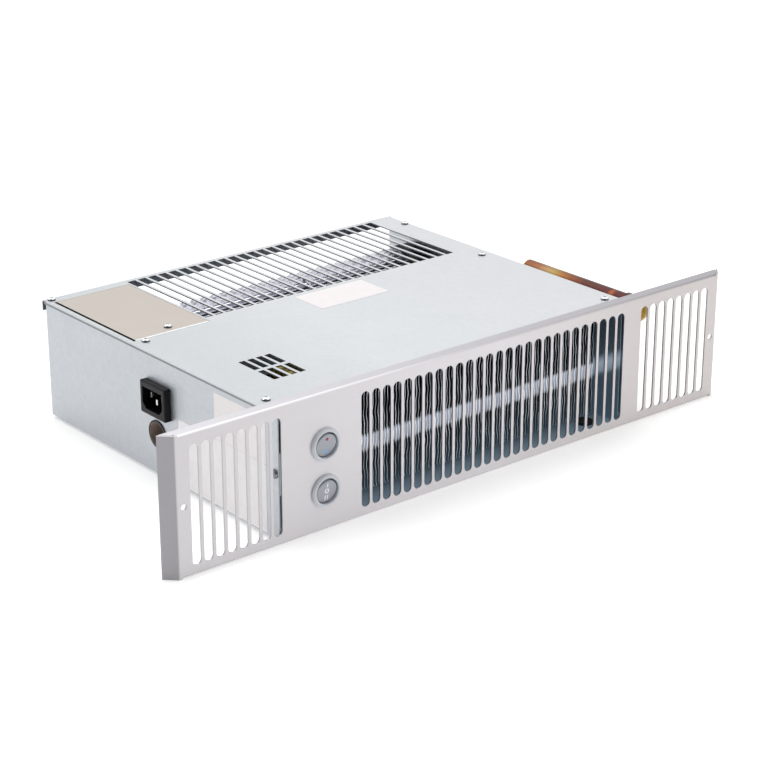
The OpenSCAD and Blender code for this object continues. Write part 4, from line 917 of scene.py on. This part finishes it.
inlet_low, inlet_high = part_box("inlet_body")
inlet = bmesh.new()
inlet.from_mesh(frame["nodes"]["inlet_body"].data)
join_flat_faces(inlet)
rounded = outer_edges(inlet, inlet_low, inlet_high)
print("inlet edges to round:", len(rounded))
bmesh.ops.bevel(
    inlet, geom=rounded, offset=INLET_ROUND_MM * MM, segments=3, profile=0.5, affect="EDGES", material=-1,
)
bmesh.ops.recalc_face_normals(inlet, faces=inlet.faces)
rounded_inlet = finish_piece(
    "rounded_inlet_body", inlet, bpy.data.materials["black_nylon"], CASE_BODY,
)
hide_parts("inlet_body")
print("inlet faces:", len(rounded_inlet.data.polygons))

# %% [markdown]
# The access cover's gap. A gap of 2 mm is left beside the cover so that a blade can lift it. A strip of
# black is put under the cover's edge so that the gap looks dark: it is painted shade, a dark piece where
# there is only shade. It is a cube, scaled to a strip 5 mm wide and 2.6 mm thick, with its edges
# softened. Its finish is the dullest and coarsest of all.
# %% Painted shade under the cover's gap
GAP_SHADE_WIDTH_MM = 5.0
GAP_SHADE_THICK_MM = 2.6
GAP_SHADE_END_MM = 4.0
GAP_SHADE_SOFT_MM = 0.4

cover_low, cover_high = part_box("access_cover")
gap_shade_length = cover_high.y - cover_low.y - 2 * GAP_SHADE_END_MM * MM
gap_shade = bmesh.new()
bmesh.ops.create_cube(gap_shade, size=1.0)
bmesh.ops.scale(gap_shade, vec=(GAP_SHADE_WIDTH_MM * MM, gap_shade_length, GAP_SHADE_THICK_MM * MM), verts=gap_shade.verts)
bmesh.ops.bevel(
    gap_shade, geom=gap_shade.edges[:], offset=GAP_SHADE_SOFT_MM * MM, segments=2, profile=0.5, affect="EDGES", material=-1,
)
bmesh.ops.translate(gap_shade, verts=gap_shade.verts, vec=(
    cover_low.x + GAP_SHADE_WIDTH_MM / 2 * MM,
    (cover_low.y + cover_high.y) / 2,
    cover_low.z - GAP_SHADE_THICK_MM / 2 * MM,
))
# Painted shade: a dull black for the strip in the gap.
gap_black = moulded("gap_shade_black", "#161617", "#0B0B0C", 0.9, ior=1.46, grain_mm=0.8, bump=0.6)
finish_piece("cover_gap_shade", gap_shade, gap_black, CASE_BODY)
print("seal length in mm:", round(gap_shade_length / MM, 1))

# %% [markdown]
# Stickers. The heater carries paper stickers: one on its lid, and two that nearly meet on its left wall.
# Here they are bare. A sticker is a rectangle with slightly rounded corners, 0.12 mm thick, and its paper
# is soft white with a faint tooth. It is drawn flat, its corners are bevelled as vertices, solidify gives
# it its thickness, and then it is turned and moved to its place.
# %% Stickers
STICKER_THICK_MM = 0.12
STICKER_CORNER_MM = 1.5


def paper_or_print(name, light, dark, rough, patch_mm):
    """A matt skin with a faint tooth, for a sticker's paper or a printed mark."""
    return moulded(name, light, dark, rough, spread=0.06, grain_mm=0.2, bump=0.05, patch_mm=patch_mm)


def sticker(name, size_mm, turn, centre, material):
    """A sticker of a width and a height, which is drawn facing +Z."""
    sheet = bmesh.new()
    bmesh.ops.create_grid(sheet, x_segments=1, y_segments=1, size=0.5)
    bmesh.ops.scale(sheet, vec=(size_mm[0] * MM, size_mm[1] * MM, 1), verts=sheet.verts)
    bmesh.ops.bevel(
        sheet, geom=sheet.verts[:], offset=STICKER_CORNER_MM * MM, segments=4, profile=0.5,
        affect="VERTICES", material=-1,
    )
    bmesh.ops.solidify(sheet, geom=sheet.faces[:], thickness=-STICKER_THICK_MM * MM)
    bmesh.ops.recalc_face_normals(sheet, faces=sheet.faces)
    bmesh.ops.transform(sheet, matrix=Matrix.Translation(centre) @ turn, verts=sheet.verts)
    print(name, "in mm:", size_mm)
    return finish_piece(name, sheet, material, CASE_BODY)


lid_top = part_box("lid")[1].z
wall_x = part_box("side_panel")[0].x
white_paper = paper_or_print("white_paper", "#EDE8E9", "#E5E1E1", 0.55, 8.0)
grey_paper = paper_or_print("grey_paper", "#EEECEC", "#E2E0E0", 0.55, 8.0)
facing_up = Matrix.Identity(4)
facing_left = Matrix.Rotation(math.radians(-90), 4, "Z") @ Matrix.Rotation(math.radians(90), 4, "X")
on_lid = Vector((10.8 * MM, FACE_Y + 160 * MM, lid_top))
high_on_wall = Vector((wall_x, FACE_Y + 44 * MM, 70.1 * MM))
low_on_wall = Vector((wall_x, FACE_Y + 66 * MM, 28.2 * MM))
sticker("lid_sticker", (63.5, 34.0), facing_up, on_lid, white_paper)
sticker("upper_wall_sticker", (58.0, 33.8), facing_left, high_on_wall, white_paper)
sticker("lower_wall_sticker", (102.0, 49.6), facing_left, low_on_wall, grey_paper)

# %% [markdown]
# Marks on the rockers. The upper switch picks hot or cold air, with a red dot and a blue bar; the lower
# one sets the fan, with the usual signs for low, off and high. Each mark is a thin print, 0.05 mm proud.
# A bar is a cube with its upright edges bevelled round, and the ring is a square section, spun full
# circle. Both are drawn on the face as if the rocker stood level.
# %% Shapes of the marks
MARK_THICK = 0.05 * MM
BAR_ROUND = 0.45


def bar(shape, x, z, width, height):
    """A rounded bar that stands on the face, facing -Y. Its place and size are in mm."""
    made = bmesh.ops.create_cube(shape, size=1.0)["verts"]
    bmesh.ops.scale(shape, vec=(width * MM, MARK_THICK, height * MM), verts=made)
    bmesh.ops.translate(shape, vec=(x * MM, -MARK_THICK / 2, z * MM), verts=made)
    upright = [
        edge for edge in {edge for v in made for edge in v.link_edges}
        if abs(edge.verts[0].co.y - edge.verts[1].co.y) > MARK_THICK / 2
    ]
    bmesh.ops.bevel(
        shape, geom=upright, offset=min(width, height) * BAR_ROUND * MM, segments=4, profile=0.5,
        affect="EDGES", material=-1,
    )


def ring(shape, x, z, outer, inner):
    """A flat ring that stands on the face, spun from its square section. Its sizes are in mm."""
    corners = ((inner, 0), (outer, 0), (outer, -MARK_THICK), (inner, -MARK_THICK))
    section = [shape.verts.new(((x + r) * MM, y, z * MM)) for r, y in corners]
    edges = [shape.edges.new((section[i], section[(i + 1) % 4])) for i in range(4)]
    bmesh.ops.spin(
        shape, geom=section + edges, cent=(x * MM, 0, z * MM), axis=(0, 1, 0), angle=2 * math.pi,
        steps=32, use_merge=True,
    )


hot = bmesh.new()
bar(hot, 0, 5.0, 2.4, 2.4)
cold = bmesh.new()
bar(cold, 0.2, -4.6, 4.4, 2.2)
speeds = bmesh.new()
bar(speeds, 0, 5.2, 1.0, 3.2)
ring(speeds, 0, 0.7, 1.9, 0.9)
bar(speeds, -1.0, -4.4, 0.9, 4.0)
bar(speeds, 1.0, -4.4, 0.9, 4.0)
print("faces of the marks:", len(hot.faces), len(cold.faces), len(speeds.faces))

# %% [markdown]
# Then each print is set on its rocker. The rocker turns about an axis along X that runs 2 mm behind the
# plate's face, through the middle of its switch, and its front lies 3.3 mm before that axis. At rest it
# is tilted by 10 degrees, and the print tilts with it. It rides on the rocker's body, not on the case.
# %% Print the marks
ROCKER_TILT = math.radians(10)
ROCKER_FACE_MM = 3.3
PIVOT_DEPTH_MM = 2.0


def on_rocker(name, shape, body, ink):
    """Turns a mark with its rocker and hands it over."""
    pins_low, pins_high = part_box(body)
    switch_low, switch_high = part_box(body.replace("rocker", "switch_body"))
    pivot = Vector((
        (pins_low.x + pins_high.x) / 2, FACE_Y + PIVOT_DEPTH_MM * MM, (switch_low.z + switch_high.z) / 2,
    ))
    turn = Matrix.Rotation(ROCKER_TILT, 4, "X")
    seat = Matrix.Translation(pivot) @ turn @ Matrix.Translation((0, -ROCKER_FACE_MM * MM, 0))
    bmesh.ops.recalc_face_normals(shape, faces=shape.faces)
    bmesh.ops.transform(shape, matrix=seat, verts=shape.verts)
    print(name, "on", body, "at height in mm:", round(pivot.z / MM, 1))
    return finish_piece(name, shape, ink, body)


red = paper_or_print("red_print", "#A83A4E", "#8C2A3C", 0.45, 1.5)
blue = paper_or_print("blue_print", "#8FB8DE", "#7BA6D0", 0.45, 1.5)
white = paper_or_print("white_print", "#F4F4F4", "#E6E6E8", 0.45, 1.5)
on_rocker("hot_mark", hot, "heat_rocker", red)
on_rocker("cold_mark", cold, "heat_rocker", blue)
on_rocker("fan_speed_marks", speeds, "fan_rocker", white)

# %% [markdown]
# The floor. The heater stands on a pale table that is lit from below as well, as tables for product
# pictures are, so its shadows stay soft and its white stays white. It is one big square with a faint
# glow, and it rides on no body of the part.
# %% Floor
TABLE_GLOW = 0.34
TABLE_HALF = 8.0

floor_shape = bmesh.new()
bmesh.ops.create_grid(floor_shape, x_segments=1, y_segments=1, size=TABLE_HALF)
floor_mesh = bpy.data.meshes.new("floor")
floor_shape.to_mesh(floor_mesh)
floor_shape.free()
floor_material, floor_tree, floor_shader, floor_place = new_finish(
    "studio_floor", Roughness=0.9, IOR=1.3, Emission_Color=colour(WHITE), Emission_Strength=TABLE_GLOW,
)
mottle(floor_tree, floor_shader, floor_place, "#F6F6F5", "#F3F3F2", 300.0, 1.0, 0.9, bump=0.02)
floor_mesh.materials.append(floor_material)
floor = bpy.data.objects.new("floor", floor_mesh)
bpy.context.scene.collection.objects.link(floor)
print("floor is", 2 * TABLE_HALF, "m square")

# %% [markdown]
# The sky. The light is soft, as in a catalogue picture: a white room all round. Its front left is dark,
# as the photographer's end of a studio is, and that is what makes the plate's splayed end and the rims of
# the parts stand out. Metals show what stands around them. The dark side is found by the angle between a
# ray's direction and the middle of the dark, whose cosine is their dot product.
# %% Sky
SKY_STRENGTH = 0.95
DARK_SIDE = (-0.72, -0.66, 0.20)
DARK_STARTS = 0.35
DARK_FULL = 0.85

world = bpy.data.worlds.new("studio")
world.use_nodes = True
sky = world.node_tree
outward = add(sky, "ShaderNodeTexCoord").outputs["Generated"]
toward_dark = add(sky, "ShaderNodeVectorMath", {0: outward, 1: DARK_SIDE}, operation="DOT_PRODUCT")
open_side = add(sky, "ShaderNodeMapRange", {
    "Value": toward_dark.outputs["Value"], "From Min": DARK_STARTS, "From Max": DARK_FULL,
    "To Min": 1.0, "To Max": 0.0,
}, interpolation_type="SMOOTHSTEP")
sky_tones = add(sky, "ShaderNodeMix", {
    0: open_side.outputs["Result"], 6: colour("#3C3E42"), 7: colour(WHITE),
}, data_type="RGBA")
fill(sky, sky.nodes["Background"], {"Color": sky_tones.outputs[2], "Strength": SKY_STRENGTH})
bpy.context.scene.world = world
print("dark side of the sky:", DARK_SIDE)

# %% [markdown]
# The panels. Three large square lights stand in for the studio's soft boxes: one overhead for the lid,
# one at the right for the plate and one at the rear left for the side wall. The larger a panel is, the
# softer are its shadows. Places and sizes are in metres and strengths in watts.
# %% Panels
def panel(name, place, aim, size, watts):
    """A square soft light that faces a point."""
    light = bpy.data.lights.new(name, "AREA")
    light.shape = "SQUARE"
    light.size = size
    light.energy = watts
    lamp = bpy.data.objects.new(name, light)
    lamp.location = place
    lamp.rotation_mode = "QUATERNION"
    lamp.rotation_quaternion = (Vector(aim) - Vector(place)).to_track_quat("-Z", "Y")
    bpy.context.scene.collection.objects.link(lamp)


panel("overhead", (0.3, 0.6, 2.4), (0, 0, 0), 2.4, 28)
panel("right_front", (1.8, -1.6, 1.0), (0, -0.1, 0.05), 1.4, 1.5)
panel("left_rear", (-1.9, 1.0, 0.9), (-0.1, 0, 0.05), 1.2, 6)
